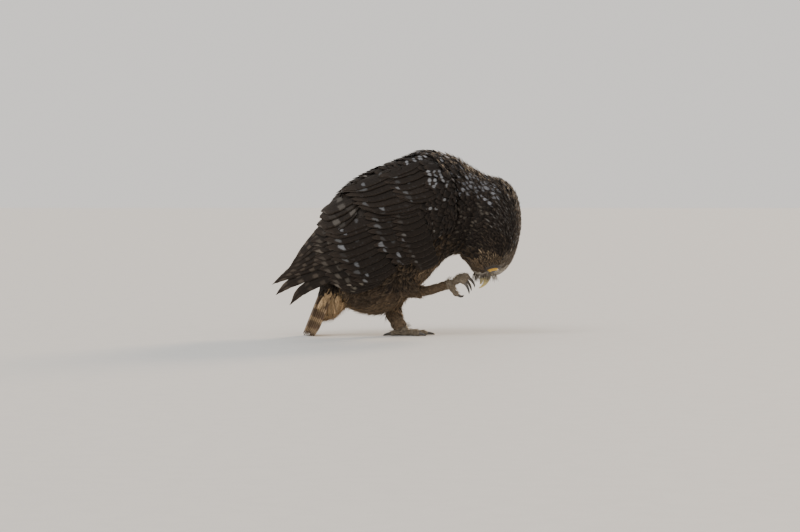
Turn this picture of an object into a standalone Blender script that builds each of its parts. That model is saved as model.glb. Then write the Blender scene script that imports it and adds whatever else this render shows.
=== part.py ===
"""A life-size little owl that stands on its left foot and bends its head down to its raised right foot.

Metres, +Z up. +X is the way the owl faces and +Y its left side. The origin is the middle of the
standing foot's sole, on the owl's middle plane. Sizes are written in millimetres and scaled by MM.
"""

import math

import bmesh
import bpy
import numpy as np

MM = 0.001
GAP = 0.3  # clearance between parts that meet, mm

# Body outline from the rump to the face: each row is one upright slice, as
# back point x, z, belly point x, z, half width and fullness (2 is an ellipse), mm
BODY = np.array([
    (-71.0, 81.5, -51.5, 29.5, 17.0, 2.0),
    (-62.6, 113.2, -37.5, 21.4, 32.0, 2.0),
    (-47.9, 130.4, -19.5, 19.0, 39.0, 2.0),
    (-26.5, 143.4, 0.9, 30.0, 41.5, 2.0),
    (-4.4, 152.6, 18.9, 47.2, 41.5, 2.0),
    (17.6, 159.0, 31.6, 62.8, 39.5, 2.0),
    (38.0, 155.6, 40.2, 68.0, 36.0, 2.05),
    (57.2, 145.6, 45.4, 68.6, 33.0, 2.1),
    (75.0, 137.4, 48.8, 66.8, 31.5, 2.2),
    (90.6, 129.4, 51.4, 64.4, 31.5, 2.3),
    (99.3, 114.8, 53.2, 61.8, 31.5, 2.35),
    (101.2, 98.5, 55.2, 58.8, 30.5, 2.35),
    (99.4, 81.6, 57.6, 55.8, 28.5, 2.3),
    (95.2, 69.0, 60.4, 53.2, 24.5, 2.2),
    (88.0, 59.6, 64.2, 52.0, 17.5, 2.1),
    (80.2, 54.6, 69.2, 51.4, 9.0, 2.0),
])
NECK_START = 6.0  # slice where the torso ends
HEAD_START = 8.2  # slice where the neck ends

# Slices behind the torso that the folded wings follow out to their tips
WING_TAIL = np.array([
    (-117.0, 47.0, -99.0, 10.0, 6.5, 2.0),
    (-105.5, 60.5, -84.5, 11.0, 11.0, 2.0),
    (-92.5, 79.5, -69.0, 12.0, 18.0, 2.0),
    (-79.5, 98.0, -54.0, 15.0, 26.0, 2.0),
    (-65.0, 116.5, -39.5, 19.5, 35.0, 2.0),
])
WING_CLEARANCE = 1.0  # from the torso to the surface that the wings lie on

# Head frame: the bill's root, and how far the face leans forward from straight down
BILL_ROOT = np.array((69.4, 0.0, 54.2))
FACE_LEAN = math.radians(4)
EYE_UP, EYE_SIDE, EYE_DEPTH = 6.5, 13.5, 7.4
EYE_RADIUS = 7.0
LID_THICKNESS = 1.0
LID_OPENING = 5.9
DISC_RADIUS, DISC_DEPTH = 17.0, 3.0

# Tail: where its feathers root, and where the longest end on the floor
TAIL_ROOT = np.array((-64.5, 0.0, 54.0))
TAIL_TIP = np.array((-85.5, 0.0, 0.0))

BODY_SIDES = 24

COLOURS = {
    "brown_plumage": ((0.13, 0.085, 0.055), 0.85, 0.0),
    "pale_plumage": ((0.55, 0.47, 0.38), 0.9, 0.0),
    "wing_feathers": ((0.12, 0.08, 0.055), 0.7, 0.0),
    "eye": ((0.75, 0.55, 0.05), 0.1, 0.0),
    "bill": ((0.55, 0.52, 0.28), 0.35, 0.0),
    "toes": ((0.42, 0.36, 0.27), 0.7, 0.0),
    "claws": ((0.05, 0.04, 0.035), 0.3, 0.0),
}


def clear_scene():
    for item in list(bpy.data.objects):
        bpy.data.objects.remove(item, do_unlink=True)


def unit(vector):
    return vector / np.linalg.norm(vector)


def material(name):
    found = bpy.data.materials.get(name)
    if found:
        return found
    colour, roughness, metallic = COLOURS[name]
    made = bpy.data.materials.new(name)
    made.use_nodes = True
    shader = made.node_tree.nodes["Principled BSDF"]
    shader.inputs["Base Color"].default_value = (*colour, 1.0)
    shader.inputs["Roughness"].default_value = roughness
    shader.inputs["Metallic"].default_value = metallic
    return made


def add_object(name, points, faces, finish):
    """A closed mesh from points in millimetres, with its faces turned outwards."""
    mesh = bpy.data.meshes.new(name)
    mesh.from_pydata([tuple(float(c) * MM for c in p) for p in points], [], faces)
    shape = bmesh.new()
    shape.from_mesh(mesh)
    bmesh.ops.recalc_face_normals(shape, faces=shape.faces)
    shape.to_mesh(mesh)
    shape.free()
    mesh.shade_smooth()
    mesh.set_sharp_from_angle(angle=math.radians(40))
    mesh.materials.append(material(finish))
    made = bpy.data.objects.new(name, mesh)
    bpy.context.scene.collection.objects.link(made)
    return made


def loft(name, rings, finish):
    """Joins rings of equally many points with triangles, and closes both ends with flat caps."""
    count = len(rings[0])
    points = [p for ring in rings for p in ring]
    faces = []
    for r in range(len(rings) - 1):
        for k in range(count):
            a = r * count + k
            b = r * count + (k + 1) % count
            faces.append((a, b, b + count))
            faces.append((a, b + count, a + count))
    faces.append(tuple(range(count)))
    faces.append(tuple(reversed(range(len(points) - count, len(points)))))
    return add_object(name, points, faces, finish)


def apply_boolean(target, others, operation, solver="EXACT"):
    """Cuts or joins target with the other objects, which are then removed."""
    group = bpy.data.collections.new(target.name + "_pieces")
    bpy.context.scene.collection.children.link(group)
    for piece in others:
        group.objects.link(piece)
    step = target.modifiers.new("join", "BOOLEAN")
    step.operation = operation
    step.solver = solver
    step.operand_type = "COLLECTION"
    step.collection = group
    graph = bpy.context.evaluated_depsgraph_get()
    result = bpy.data.meshes.new_from_object(target.evaluated_get(graph))
    target.modifiers.clear()
    target.data = result
    for piece in others:
        bpy.data.objects.remove(piece, do_unlink=True)
    bpy.data.collections.remove(group)
    keep_largest_surface(target)


def keep_largest_surface(target):
    """Triangulates target and keeps only its largest closed surface."""
    shape = bmesh.new()
    shape.from_mesh(target.data)
    bmesh.ops.triangulate(shape, faces=shape.faces)
    bmesh.ops.dissolve_degenerate(shape, dist=1e-6, edges=shape.edges)
    shape.faces.ensure_lookup_table()
    waiting = set(shape.faces)
    groups = []
    while waiting:
        edge_of_group = [waiting.pop()]
        group = set(edge_of_group)
        while edge_of_group:
            face = edge_of_group.pop()
            for edge in face.edges:
                for other in edge.link_faces:
                    if other in waiting:
                        waiting.discard(other)
                        group.add(other)
                        edge_of_group.append(other)
        groups.append(group)

    def volume(group):
        return abs(sum(f.verts[0].co.dot(f.verts[1].co.cross(f.verts[2].co)) for f in group))

    kept = max(groups, key=volume)
    bmesh.ops.delete(shape, geom=[f for f in shape.faces if f not in kept], context="FACES")
    shape.to_mesh(target.data)
    shape.free()
    target.data.shade_smooth()
    target.data.set_sharp_from_angle(angle=math.radians(40))


# Body surface


def between(table, place):
    """The row of a table of slices at a fractional index, on a smooth curve through the rows."""
    last = len(table) - 1
    first = min(max(int(math.floor(place)), 0), last - 1)
    t = place - first
    before, start, end, after = (table[min(max(first + k, 0), last)] for k in (-1, 0, 1, 2))
    return 0.5 * (
        2 * start
        + (end - before) * t
        + (2 * before - 5 * start + 4 * end - after) * t * t
        + (3 * start - before - 3 * end + after) * t ** 3
    )


def on_slice(row, angle, out=0.0):
    """A point on a slice: angle 0 is the side, a quarter turn the back; out is its height above."""
    back, belly = row[0:2], row[2:4]
    middle, half = (back + belly) / 2, (back - belly) / 2
    length = math.hypot(*half)
    up = math.copysign(abs(math.sin(angle)) ** (2 / row[5]), math.sin(angle))
    across = math.copysign(abs(math.cos(angle)) ** (2 / row[5]), math.cos(angle))
    x, z = middle + half / length * (length + out) * up
    return np.array((x, (row[4] + out) * across, z))


def body_ring(place, out=0.0, sides=BODY_SIDES):
    row = between(BODY, place)
    return [on_slice(row, 2 * math.pi * k / sides, out) for k in range(sides)]


def slice_normal(place):
    """The direction along the body, towards the face, square to the slice."""
    row = between(BODY, place)
    across = row[0:2] - row[2:4]
    normal = np.array((across[1], 0.0, -across[0]))
    return normal / np.linalg.norm(normal)


def shifted(ring, offset):
    return [p + offset for p in ring]


def head_point(forward, up, side=0.0):
    """A point in the head's own frame: forward out of the face, up to the crown, side to its left."""
    ahead = np.array((math.sin(FACE_LEAN), 0.0, -math.cos(FACE_LEAN)))
    crown = np.array((math.cos(FACE_LEAN), 0.0, math.sin(FACE_LEAN)))
    return BILL_ROOT + ahead * forward + crown * up + np.array((0.0, side, 0.0))


def face_relief(point):
    """Sinks the facial disc round each eye, and raises its rim and the ridge between the brows."""
    ahead = head_point(1, 0) - BILL_ROOT
    crown = head_point(0, 1) - BILL_ROOT
    forward = (point - BILL_ROOT) @ ahead
    up = (point - BILL_ROOT) @ crown
    side = abs(point[1])
    if forward < -DISC_RADIUS:
        return point
    reach = math.hypot(up - EYE_UP, side - EYE_SIDE)
    share = min(reach / DISC_RADIUS, 1.0)
    sink = DISC_DEPTH * (1 - share * share) ** 2
    rim = 1.0 * math.exp(-(((reach - DISC_RADIUS) / 3.0) ** 2))
    brow = 1.6 * math.exp(-((side / 4.0) ** 2)) * math.exp(-(((up - 10.0) / 8.0) ** 2))
    fade = min(1.0, (forward + DISC_RADIUS) / 8.0)
    return point + ahead * (rim + brow - sink) * fade


def head_rings(out=0.0):
    places = [HEAD_START, 9.0, 9.8, 10.6, 11.3, 12.0, 12.6, 13.1, 13.6, 14.1, 14.6, 15.0]
    rings = [[face_relief(p) for p in body_ring(place, out, 28)] for place in places]
    last = body_ring(places[-1], out, 28)
    middle = sum(last) / len(last)
    for share in (0.62, 0.3):
        rings.append([face_relief(middle + (p - middle) * share) for p in last])
    return rings


# Sweeps along a path, for legs, toes, claws and bill


def sweep(name, path, radii, finish, sides=12, floor=None, ends=(None, None)):
    """A tube through the path's points, with a radius at each; ends can set which way its caps face."""
    path = [np.array(p, float) for p in path]
    rings = []
    for k, (centre, radius) in enumerate(zip(path, radii)):
        ahead = unit(path[min(k + 1, len(path) - 1)] - path[max(k - 1, 0)])
        if k == 0 and ends[0] is not None:
            ahead = ends[0]
        if k == len(path) - 1 and ends[1] is not None:
            ahead = ends[1]
        guide = np.array((0.0, 1.0, 0.0)) if abs(ahead[1]) < 0.8 else np.array((0.0, 0.0, 1.0))
        over = unit(np.cross(ahead, guide))
        across = np.cross(over, ahead)
        ring = []
        for j in range(sides):
            turn = 2 * math.pi * j / sides
            spot = centre + radius * (math.cos(turn) * across + math.sin(turn) * over)
            if floor is not None:
                spot[2] = max(spot[2], floor)
            ring.append(spot)
        rings.append(ring)
    return loft(name, rings, finish)


def smooth_path(points, count):
    table = np.array(points, float)
    return [between(table, (len(table) - 1) * k / (count - 1)) for k in range(count)]


def curve(start, leave, arrive, end, count):
    """Points along a cubic curve between start and end, drawn towards leave and arrive."""
    path = []
    for k in range(count):
        t = k / (count - 1)
        path.append(start * (1 - t) ** 3 + leave * 3 * t * (1 - t) ** 2
                    + arrive * 3 * t * t * (1 - t) + end * t ** 3)
    return path


def ball(name, centre, radius, finish, rows=10, sides=18):
    """A closed sphere with small flat caps at its poles."""
    rings = []
    for r in range(rows):
        tilt = math.pi * (0.06 + 0.88 * r / (rows - 1))
        ring_radius = radius * math.sin(tilt)
        height = radius * math.cos(tilt)
        rings.append([
            centre + np.array((
                ring_radius * math.cos(2 * math.pi * k / sides),
                ring_radius * math.sin(2 * math.pi * k / sides),
                height,
            ))
            for k in range(sides)
        ])
    return loft(name, rings, finish)


# Torso, neck and head

THIGHS = {
    "left": (((-5.0, 16.0, 52.0), (-8.0, 15.0, 36.0), (-9.0, 10.0, 20.0)), (15.0, 13.0, 7.5)),
    "right": (((-12.0, -17.0, 58.0), (-2.0, -18.0, 47.0), (9.0, -16.5, 38.2)), (15.0, 13.5, 7.2)),
}


def thigh(side, name, grow=0.0):
    path, radii = THIGHS[side]
    reach = smooth_path(path, 7)
    sizes = [between(np.array(radii)[:, None], 2 * k / 6)[0] + grow for k in range(7)]
    sizes[0] *= 0.55  # rounds the hidden end
    if grow:  # a socket is longer at both ends
        reach[0] = reach[0] + unit(reach[0] - reach[1]) * grow
        reach.append(reach[-1] + unit(reach[-1] - reach[-2]) * 8)
        sizes.append(sizes[-1])
    return sweep(name, reach, sizes, "pale_plumage", sides=18)


def torso():
    places = [0.0, 0.4, 0.8, 1.2, 1.7, 2.2, 2.8, 3.4, 4.0, 4.5, 5.0, 5.5, NECK_START]
    body = loft("torso", [body_ring(place) for place in places], "brown_plumage")
    sockets = [thigh(side, side + "_socket", GAP) for side in THIGHS]
    apply_boolean(body, sockets, "DIFFERENCE")
    return body


def neck():
    along = slice_normal(NECK_START) * GAP
    rings = [shifted(body_ring(NECK_START), along)]
    rings += [body_ring(place) for place in (6.5, 7.0, 7.6)]
    rings.append(shifted(body_ring(HEAD_START), -slice_normal(HEAD_START) * GAP))
    return loft("neck", rings, "brown_plumage")


def eye_centre(side):
    return head_point(-EYE_DEPTH, EYE_UP, EYE_SIDE * side)


def head():
    skull = loft("head", head_rings(), "brown_plumage")
    ahead = head_point(1, 0) - BILL_ROOT
    lids = [ball(f"lid_{side}", eye_centre(side), EYE_RADIUS + GAP + LID_THICKNESS, "pale_plumage", 9, 16)
            for side in (-1, 1)]
    apply_boolean(skull, lids, "UNION")
    cutters = []
    for side in (-1, 1):
        centre = eye_centre(side)
        gaze = ahead + np.array((0.12, 0.22 * side, 0.0))
        gaze = gaze / np.linalg.norm(gaze)
        cutters.append(ball(f"socket_{side}", centre, EYE_RADIUS + GAP + 0.1, "eye", 9, 16))
        cutters.append(sweep(f"aperture_{side}", [centre, centre + gaze * 14], [LID_OPENING] * 2, "eye", 16))
    apply_boolean(skull, cutters, "DIFFERENCE")
    cutters = [upper_bill("cut_upper", GAP), lower_bill("cut_lower", GAP)]
    apply_boolean(skull, cutters, "DIFFERENCE")
    return skull


# Bill: rows run from the root to the tip, as forward and up in the head's frame, mm
UPPER_RIDGE = ((-3.0, 5.2), (3.0, 5.1), (7.0, 3.7), (10.4, 0.9), (12.5, -2.6), (13.3, -5.8))
UPPER_EDGE = ((-3.0, -0.4), (3.0, -0.6), (6.5, -1.0), (9.2, -2.0), (11.4, -4.0), (12.8, -6.0))
UPPER_WIDTH = (4.6, 4.3, 3.6, 2.7, 1.6, 0.5)
LOWER_EDGE = ((-3.0, -0.7), (2.8, -0.9), (5.6, -1.3), (8.0, -2.3), (9.8, -3.7))
LOWER_KEEL = ((-3.0, -4.2), (2.8, -4.4), (5.6, -4.5), (8.0, -4.7), (9.7, -5.1))
LOWER_WIDTH = (4.0, 3.6, 2.9, 1.9, 0.7)


def bill_rings(ridge, edge, widths, grow):
    """Half-round slices between the ridge and the flat cutting edge."""
    rings = []
    for (f1, u1), (f2, u2), width in zip(ridge, edge, widths):
        ring = []
        away = unit(np.array((f1 - f2, u1 - u2))) * grow
        if not rings:
            f1, f2 = f1 - grow, f2 - grow
        for k in range(8):
            turn = math.pi * k / 7
            share = math.sin(turn)
            f = f2 - away[0] + (f1 - f2 + 2 * away[0]) * share
            u = u2 - away[1] + (u1 - u2 + 2 * away[1]) * share
            ring.append(head_point(f, u, (width + grow) * math.cos(turn)))
        rings.append(ring)
    return rings


def upper_bill(name, grow=0.0):
    made = loft(name, bill_rings(UPPER_RIDGE, UPPER_EDGE, UPPER_WIDTH, grow), "bill")
    if not grow:
        nostrils = [ball(f"nostril_{side}", head_point(4.2, 3.0, 3.9 * side), 0.9, "bill", 6, 8)
                    for side in (-1, 1)]
        apply_boolean(made, nostrils, "DIFFERENCE")
    return made


def lower_bill(name, grow=0.0):
    return loft(name, bill_rings(LOWER_KEEL, LOWER_EDGE, LOWER_WIDTH, grow), "bill")


# Legs and feet

# Each toe: name, path from the foot's centre, radii; the claw goes on from its end
STANDING_ANKLE = np.array((-13.2, 6.0, 24.5))
STANDING_FOOT = np.array((0.0, 0.0, 5.0))
RAISED_ANKLE = np.array((10.0, -14.6, 38.2))
RAISED_FOOT = np.array((41.0, -10.0, 44.6))
TOE_RADII = (2.9, 2.5, 2.7, 2.2, 2.4, 2.0)
CLAW_RADII = (1.45, 1.2, 0.8, 0.35)
STANDING_TOES = {
    "middle": (12, 21),
    "inner": (-36, 17),
    "outer": (108, 16),
    "hind": (-158, 13),
}
RAISED_TOES = {
    "middle": ((3.0, 0.0, 3.0), (7.0, 0.3, 6.2), (11.5, 0.6, 7.0), (15.5, 0.8, 4.6)),
    "inner": ((3.0, 3.0, 2.2), (6.5, 6.0, 4.6), (10.5, 8.2, 4.6), (13.5, 9.0, 2.0)),
    "outer": ((2.5, -3.2, 1.6), (5.5, -6.6, 3.4), (9.0, -9.2, 3.0), (11.5, -10.2, 0.6)),
    "hind": ((0.5, 0.0, -3.6), (2.5, 0.4, -7.2), (5.5, 0.8, -9.6)),
}


def standing_toe_path(turn_deg, length):
    turn = math.radians(turn_deg)
    ahead = np.array((math.cos(turn), math.sin(turn), 0.0))
    heights = (2.6, 2.3, 2.1, 1.8)
    start = STANDING_FOOT * (1, 1, 0) + ahead * 2.6
    return [start + ahead * (length - 2.6) * k / 3 + np.array((0, 0, heights[k])) for k in range(4)]


def raised_toe_path(offsets):
    return [RAISED_FOOT] + [RAISED_FOOT + np.array(offset) for offset in offsets]


def leg_and_foot(side, ankle, centre, toe_paths, claw_drops, floor):
    """Tarsus, foot and claws of one leg. The foot holds a short stub of the tarsus above the toes."""
    down = unit(centre - ankle)
    thigh_path = smooth_path(THIGHS[side][0], 7)
    leave = unit(thigh_path[-1] - thigh_path[-2])
    start = thigh_path[-1] + leave * GAP
    stub_top = centre - down * 4.0
    finish = stub_top - down * GAP
    pull = np.linalg.norm(finish - start) * 0.3
    shank = curve(start, start + leave * pull, finish - down * pull, finish, 8)
    sizes = (5.8, 5.6, 5.4, 5.2, 5.0, 4.8, 4.6, 4.5)
    sweep(f"tarsus_{side}", shank, sizes, "pale_plumage", 14, ends=(leave, down))
    stub = [stub_top, centre - down * 1.5, centre + down * 2.5]
    foot = sweep(f"foot_{side}", stub, (4.5, 4.5, 3.8), "toes", 14, floor, (down, down))
    toes = []
    if floor is not None:
        sole = centre * (1, 1, 0)
        toes.append(sweep("pad", [centre, sole], (3.4, 3.9), "toes", 9))
    for toe, path in toe_paths.items():
        bend = smooth_path(path, len(TOE_RADII))
        toes.append(sweep(f"{side}_{toe}", bend, TOE_RADII, "toes", 8, floor))
        ahead = unit(bend[-1] - bend[-2])
        claw = [bend[-1] + ahead * GAP]
        for reach, share in ((3.0, 0.12), (5.6, 0.5), (7.0, 1.0)):
            claw.append(claw[0] + ahead * reach + np.array(claw_drops[toe]) * share)
        sweep(f"claw_{side}_{toe}", claw, CLAW_RADII, "claws", 8, floor, (ahead, None))
    apply_boolean(foot, toes, "UNION")


def legs():
    for side in THIGHS:
        thigh(side, f"thigh_{side}")
    standing = {toe: standing_toe_path(*size) for toe, size in STANDING_TOES.items()}
    drops = {toe: (0.0, 0.0, -0.9) for toe in standing}
    leg_and_foot("left", STANDING_ANKLE, STANDING_FOOT, standing, drops, 0.0)
    raised = {toe: raised_toe_path(offsets) for toe, offsets in RAISED_TOES.items()}
    drops = {toe: (-1.0, 0.0, -4.0) for toe in raised}
    drops["hind"] = (-0.5, 0.0, 4.0)
    leg_and_foot("right", RAISED_ANKLE, RAISED_FOOT, raised, drops, None)


# Feathers: a vane is a thin closed blade, given by the points of its lower and upper faces

VANE_THICKNESS = 0.6
LONG_VANE = ((0.0, 0.45), (0.3, 0.95), (0.65, 1.0), (0.9, 0.74), (1.0, 0.16))  # along, width
POINTED_VANE = ((0.0, 0.45), (0.35, 0.95), (0.65, 0.9), (0.85, 0.55), (1.0, 0.12))
SHORT_VANE = ((0.0, 0.6), (0.5, 1.0), (0.85, 0.8), (1.0, 0.2))


def vane_columns(shape):
    return (-1, 1) if shape is SHORT_VANE else (-1, 0, 1)


def blade(name, lower, upper, finish):
    """A closed solid between two grids of points, split into the same triangles on both."""
    rows, columns = len(lower), len(lower[0])
    points = [p for row in lower for p in row] + [p for row in upper for p in row]
    lift = rows * columns
    faces = []
    for r in range(rows - 1):
        for c in range(columns - 1):
            a = r * columns + c
            for low in ((a, a + columns, a + 1), (a + 1, a + columns, a + columns + 1)):
                faces.append(low)
                faces.append(tuple(k + lift for k in reversed(low)))
    rim = list(range(columns))
    rim += [r * columns + columns - 1 for r in range(1, rows)]
    rim += [(rows - 1) * columns + c for c in range(columns - 2, -1, -1)]
    rim += [r * columns for r in range(rows - 2, 0, -1)]
    for k, a in enumerate(rim):
        b = rim[(k + 1) % len(rim)]
        faces.append((a, b, b + lift))
        faces.append((a, b + lift, a + lift))
    return add_object(name, points, faces, finish)


# Tail

TAIL_PAIRS = 5  # besides the middle pair
TAIL_SPREAD = 2.5  # between neighbouring tips
TAIL_STEP = 1.4  # how far each pair lies under the last
TAIL_WIDTH = 12.5
TAIL_DROOP = 0.22  # how far the outer feathers' edges fall, as a share of their width


def tail_core():
    """The feathered stump that the tail's vanes and coverts grow from."""
    rows = np.array([
        BODY[0],
        (-73.0, 67.0, -54.0, 22.5, 15.5, 2.0),
        (-74.0, 54.0, -59.0, 17.0, 13.5, 2.0),
        (-75.5, 42.0, -65.0, 14.0, 10.0, 2.0),
    ])
    rings = [[on_slice(row, 2 * math.pi * k / 20) for k in range(20)] for row in rows]
    rings[0] = shifted(rings[0], -slice_normal(0.0) * GAP)
    return loft("tail", rings, "wing_feathers")


def tail_vane(name, root, tip, width, inner, side, shape=LONG_VANE):
    """A vane from root to tip whose side nearest the middle plane stays inner from it."""
    along = unit(tip - root)
    over = np.cross(along, np.array((0.0, 1.0, 0.0)))
    over = over * math.copysign(1.0, -over[0])
    lower, upper = [], []
    for share, wide in shape:
        centre = root + (tip - root) * share
        lower_row, upper_row = [], []
        for edge in vane_columns(shape):
            across = edge * width / 2 * wide
            if side and (centre[1] + across) * side < inner:
                across = side * inner - centre[1]
            droop = -TAIL_DROOP * abs(across) * (side != 0)
            spot = centre + np.array((0.0, across, 0.0)) + over * droop
            top = spot + over * VANE_THICKNESS
            spot[2] = max(spot[2], 0.0)
            top[2] = max(top[2], spot[2] + 0.05)
            lower_row.append(spot)
            upper_row.append(top)
        lower.append(lower_row)
        upper.append(upper_row)
    return blade(name, lower, upper, "wing_feathers")


def tail():
    stump = tail_core()
    along = unit(TAIL_TIP - TAIL_ROOT)
    over = np.array((along[2], 0.0, -along[0]))
    vanes = []
    for level, shift in ((1, 1.0), (0, -1.0)):
        lift = over * (TAIL_STEP * level) + np.array((0.0, shift, 0.0))
        vanes.append(tail_vane("middle", TAIL_ROOT + lift * 0.8, TAIL_TIP + lift, TAIL_WIDTH, 0, 0))
    for pair in range(1, TAIL_PAIRS + 1):
        for side in (-1, 1):
            drop = over * (-TAIL_STEP * pair)
            root = TAIL_ROOT + drop + along * pair + np.array((0.0, side * (1.5 + pair), 0.0))
            tip = TAIL_TIP + drop + np.array((0.0, side * (1.0 + TAIL_SPREAD * pair), 0.0))
            tip = tip - along * 0.5 * pair
            vanes.append(tail_vane("pair", root, tip, TAIL_WIDTH, 0.3, side))
    for side in (-1, 1):
        for place in range(3):
            root = np.array((-68.0 + 3.5 * place, side * (3.2 + 3.4 * place), 60.0 - 5.0 * place))
            tip = root + np.array((-11.0 + 1.5 * place, side * 1.5, -26.0))
            vanes.append(tail_vane("upper_covert", root, tip, 9.0, 0.3, side, SHORT_VANE))
        for place in range(3):
            root = np.array((-66.0 + 3.0 * place, side * (3.2 + 2.6 * place), 33.0 - 3.5 * place))
            tip = root + np.array((-9.0 + 1.5 * place, side * 0.5, -26.0 + 4.5 * place))
            vanes.append(tail_vane("under_covert", root, tip, 9.5, 0.3, side, SHORT_VANE))
    apply_boolean(stump, vanes, "UNION")


# Wings: each lies on a surface that follows the flank and goes on past it to the wing's tip

WING = np.vstack([WING_TAIL, BODY[2:]])
WING_TILT = math.tan(math.radians(9))  # each vane's lower edge stands over the next vane
WING_PLATE = 1.3  # inner face of the solid wing, above the surface
ROOT_STEP = 0.15  # how far each primary's root lies over the next

# Each tier: count, line of roots, line of tips (x, z from the side), width, heights at root and tip
TIERS = {
    "primary": (8, ((-57.5, 104.0), (-49.0, 88.0), (-43.0, 75.0), (-37.0, 65.5)),
                ((-94.6, 63.7), (-97.6, 59.7), (-100.6, 55.7), (-103.8, 51.4),
                 (-107.2, 47.8), (-111.0, 44.2), (-108.5, 35.8), (-97.0, 28.6)),
                9.6, 1.6, 1.3, POINTED_VANE),
    "secondary": (7, ((-28.0, 57.0), (-40.0, 80.0), (-44.5, 103.0)),
                  ((-63.5, 46.5), (-75.0, 62.0), (-80.0, 79.5)),
                  14.0, 2.8, 2.7, LONG_VANE),
    "tertial": (3, ((-40.0, 108.0), (-34.0, 121.0)),
                ((-77.0, 87.5), (-70.0, 98.0)),
                15.0, 3.6, 3.9, LONG_VANE),
    "primary_covert": (2, ((-12.0, 57.0), (-20.0, 50.5)),
                       ((-48.0, 49.5), (-55.0, 41.5)),
                       10.0, 3.0, 3.7, SHORT_VANE),
    "greater_covert": (6, ((-8.0, 62.0), (-18.0, 82.0), (-22.0, 102.0)),
                       ((-39.0, 54.0), (-56.0, 71.0), (-59.0, 91.0)),
                       12.5, 3.8, 4.8, SHORT_VANE),
    "median_covert": (5, ((14.0, 76.0), (8.0, 92.0), (2.0, 110.0)),
                      ((-9.0, 65.0), (-28.0, 82.0), (-34.0, 102.0)),
                      12.5, 4.5, 5.8, SHORT_VANE),
    "scapular": (4, ((14.0, 116.0), (-2.0, 140.0)),
                 ((-36.0, 108.0), (-52.0, 115.0)),
                 14.0, 5.0, 6.6, SHORT_VANE),
}


def locate(x, z):
    """Where a point seen from the side lies on the wing's surface, as slice and angle."""

    def measure(place):
        row = between(WING, place)
        from_middle = np.array((x, z)) - (row[0:2] + row[2:4]) / 2
        half = (row[0:2] - row[2:4]) / 2
        past = from_middle[0] * half[1] - from_middle[1] * half[0]
        return past, from_middle @ half / (half @ half)

    low = -0.6
    while low < 10 and not (measure(low)[0] > 0 > measure(low + 0.2)[0] and abs(measure(low)[1]) < 1.3):
        low += 0.2
    high = low + 0.2
    for _ in range(30):
        middle = (low + high) / 2
        if measure(middle)[0] > 0:
            low = middle
        else:
            high = middle
    up = max(-0.97, min(0.97, measure(low)[1]))
    fullness = between(WING, low)[5]
    return low, math.asin(math.copysign(abs(up) ** (fullness / 2), up))


def wing_point(place, angle, out, side):
    spot = on_slice(between(WING, place), angle, WING_CLEARANCE + out)
    spot[1] *= side
    return spot


def wing_vane(name, side, root, tip, width, root_height, tip_height, shape):
    """A vane that lies along the wing's surface, from root to tip as seen from the side."""
    path = [locate(*(root + (tip - root) * share)) for share, _ in shape]
    spots = [wing_point(*place, 0.0, side) for place in path]
    lower, upper = [], []
    for k, ((place, angle), (share, wide)) in enumerate(zip(path, shape)):
        here = spots[k]
        ahead = spots[min(k + 1, len(path) - 1)] - spots[max(k - 1, 0)]
        by_place = (wing_point(place + 0.02, angle, 0.0, side) - here) / 0.02
        by_angle = (wing_point(place, angle + 0.02, 0.0, side) - here) / 0.02
        out = unit(np.cross(by_place, by_angle))
        across = unit(np.cross(out, unit(ahead)))
        if across[2] < 0:
            across = -across
        solve = np.linalg.pinv(np.array((by_place, by_angle)).T)
        height = root_height + (tip_height - root_height) * share
        lower_row, upper_row = [], []
        for edge in vane_columns(shape):
            reach = edge * width / 2 * wide
            step = solve @ (across * reach)
            lift = height - reach * WING_TILT
            where = (place + step[0], angle + step[1])
            lower_row.append(wing_point(*where, lift, side))
            upper_row.append(wing_point(*where, lift + VANE_THICKNESS, side))
        lower.append(lower_row)
        upper.append(upper_row)
    return blade(name, lower, upper, "wing_feathers")


def wing_plate(side, name):
    """The solid fore part of the folded wing, which every tier grows from."""
    outline = np.array((
        (4.7, -22, 66, 3.0), (5.4, -24, 68, 3.4), (6.8, -27, 66, 4.0), (8.0, -29, 58, 4.4),
        (8.9, -27, 38, 3.4), (9.3, -12, 18, 1.8),
    ))
    lower, upper = [], []
    for step in range(12):
        place, first, last, thick = between(outline, (len(outline) - 1) * step / 11)
        angles = [math.radians(first + (last - first) * k / 7) for k in range(8)]
        lower.append([wing_point(place, a, WING_PLATE, side) for a in angles])
        upper.append([wing_point(place, a, WING_PLATE + thick * (0.4 if k in (0, 7) else 1), side)
                      for k, a in enumerate(angles)])
    return blade(name, lower, upper, "wing_feathers")


def wing(side, name):
    plate = wing_plate(side, name)
    vanes = []
    for tier, (count, roots, tips, width, root_height, tip_height, shape) in TIERS.items():
        roots, tips = np.array(roots), np.array(tips)
        for k in range(count):
            share = k / (count - 1)
            root = between(roots, share * (len(roots) - 1))
            tip = between(tips, share * (len(tips) - 1))
            if tier == "primary" and side > 0:
                tip = tip + np.array((-0.8, 2.0)) * share  # the left wing's tips show above the right's
            fanned = (count - 1 - k) * ROOT_STEP if tier == "primary" else 0.0
            vanes.append(wing_vane(tier, side, root, tip, width, root_height + fanned, tip_height, shape))
    apply_boolean(plate, vanes, "UNION")


def build():
    clear_scene()
    torso()
    neck()
    head()
    for side, word in ((1, "left"), (-1, "right")):
        ball(f"eye_{word}", eye_centre(side), EYE_RADIUS, "eye", 9, 16)
        wing(side, f"wing_{word}")
    upper_bill("bill_upper")
    lower_bill("bill_lower")
    legs()
    tail()


build()
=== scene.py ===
import math

import bmesh
import bpy
import numpy as np
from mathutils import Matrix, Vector
from mathutils.bvhtree import BVHTree
from mathutils.kdtree import KDTree


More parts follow.
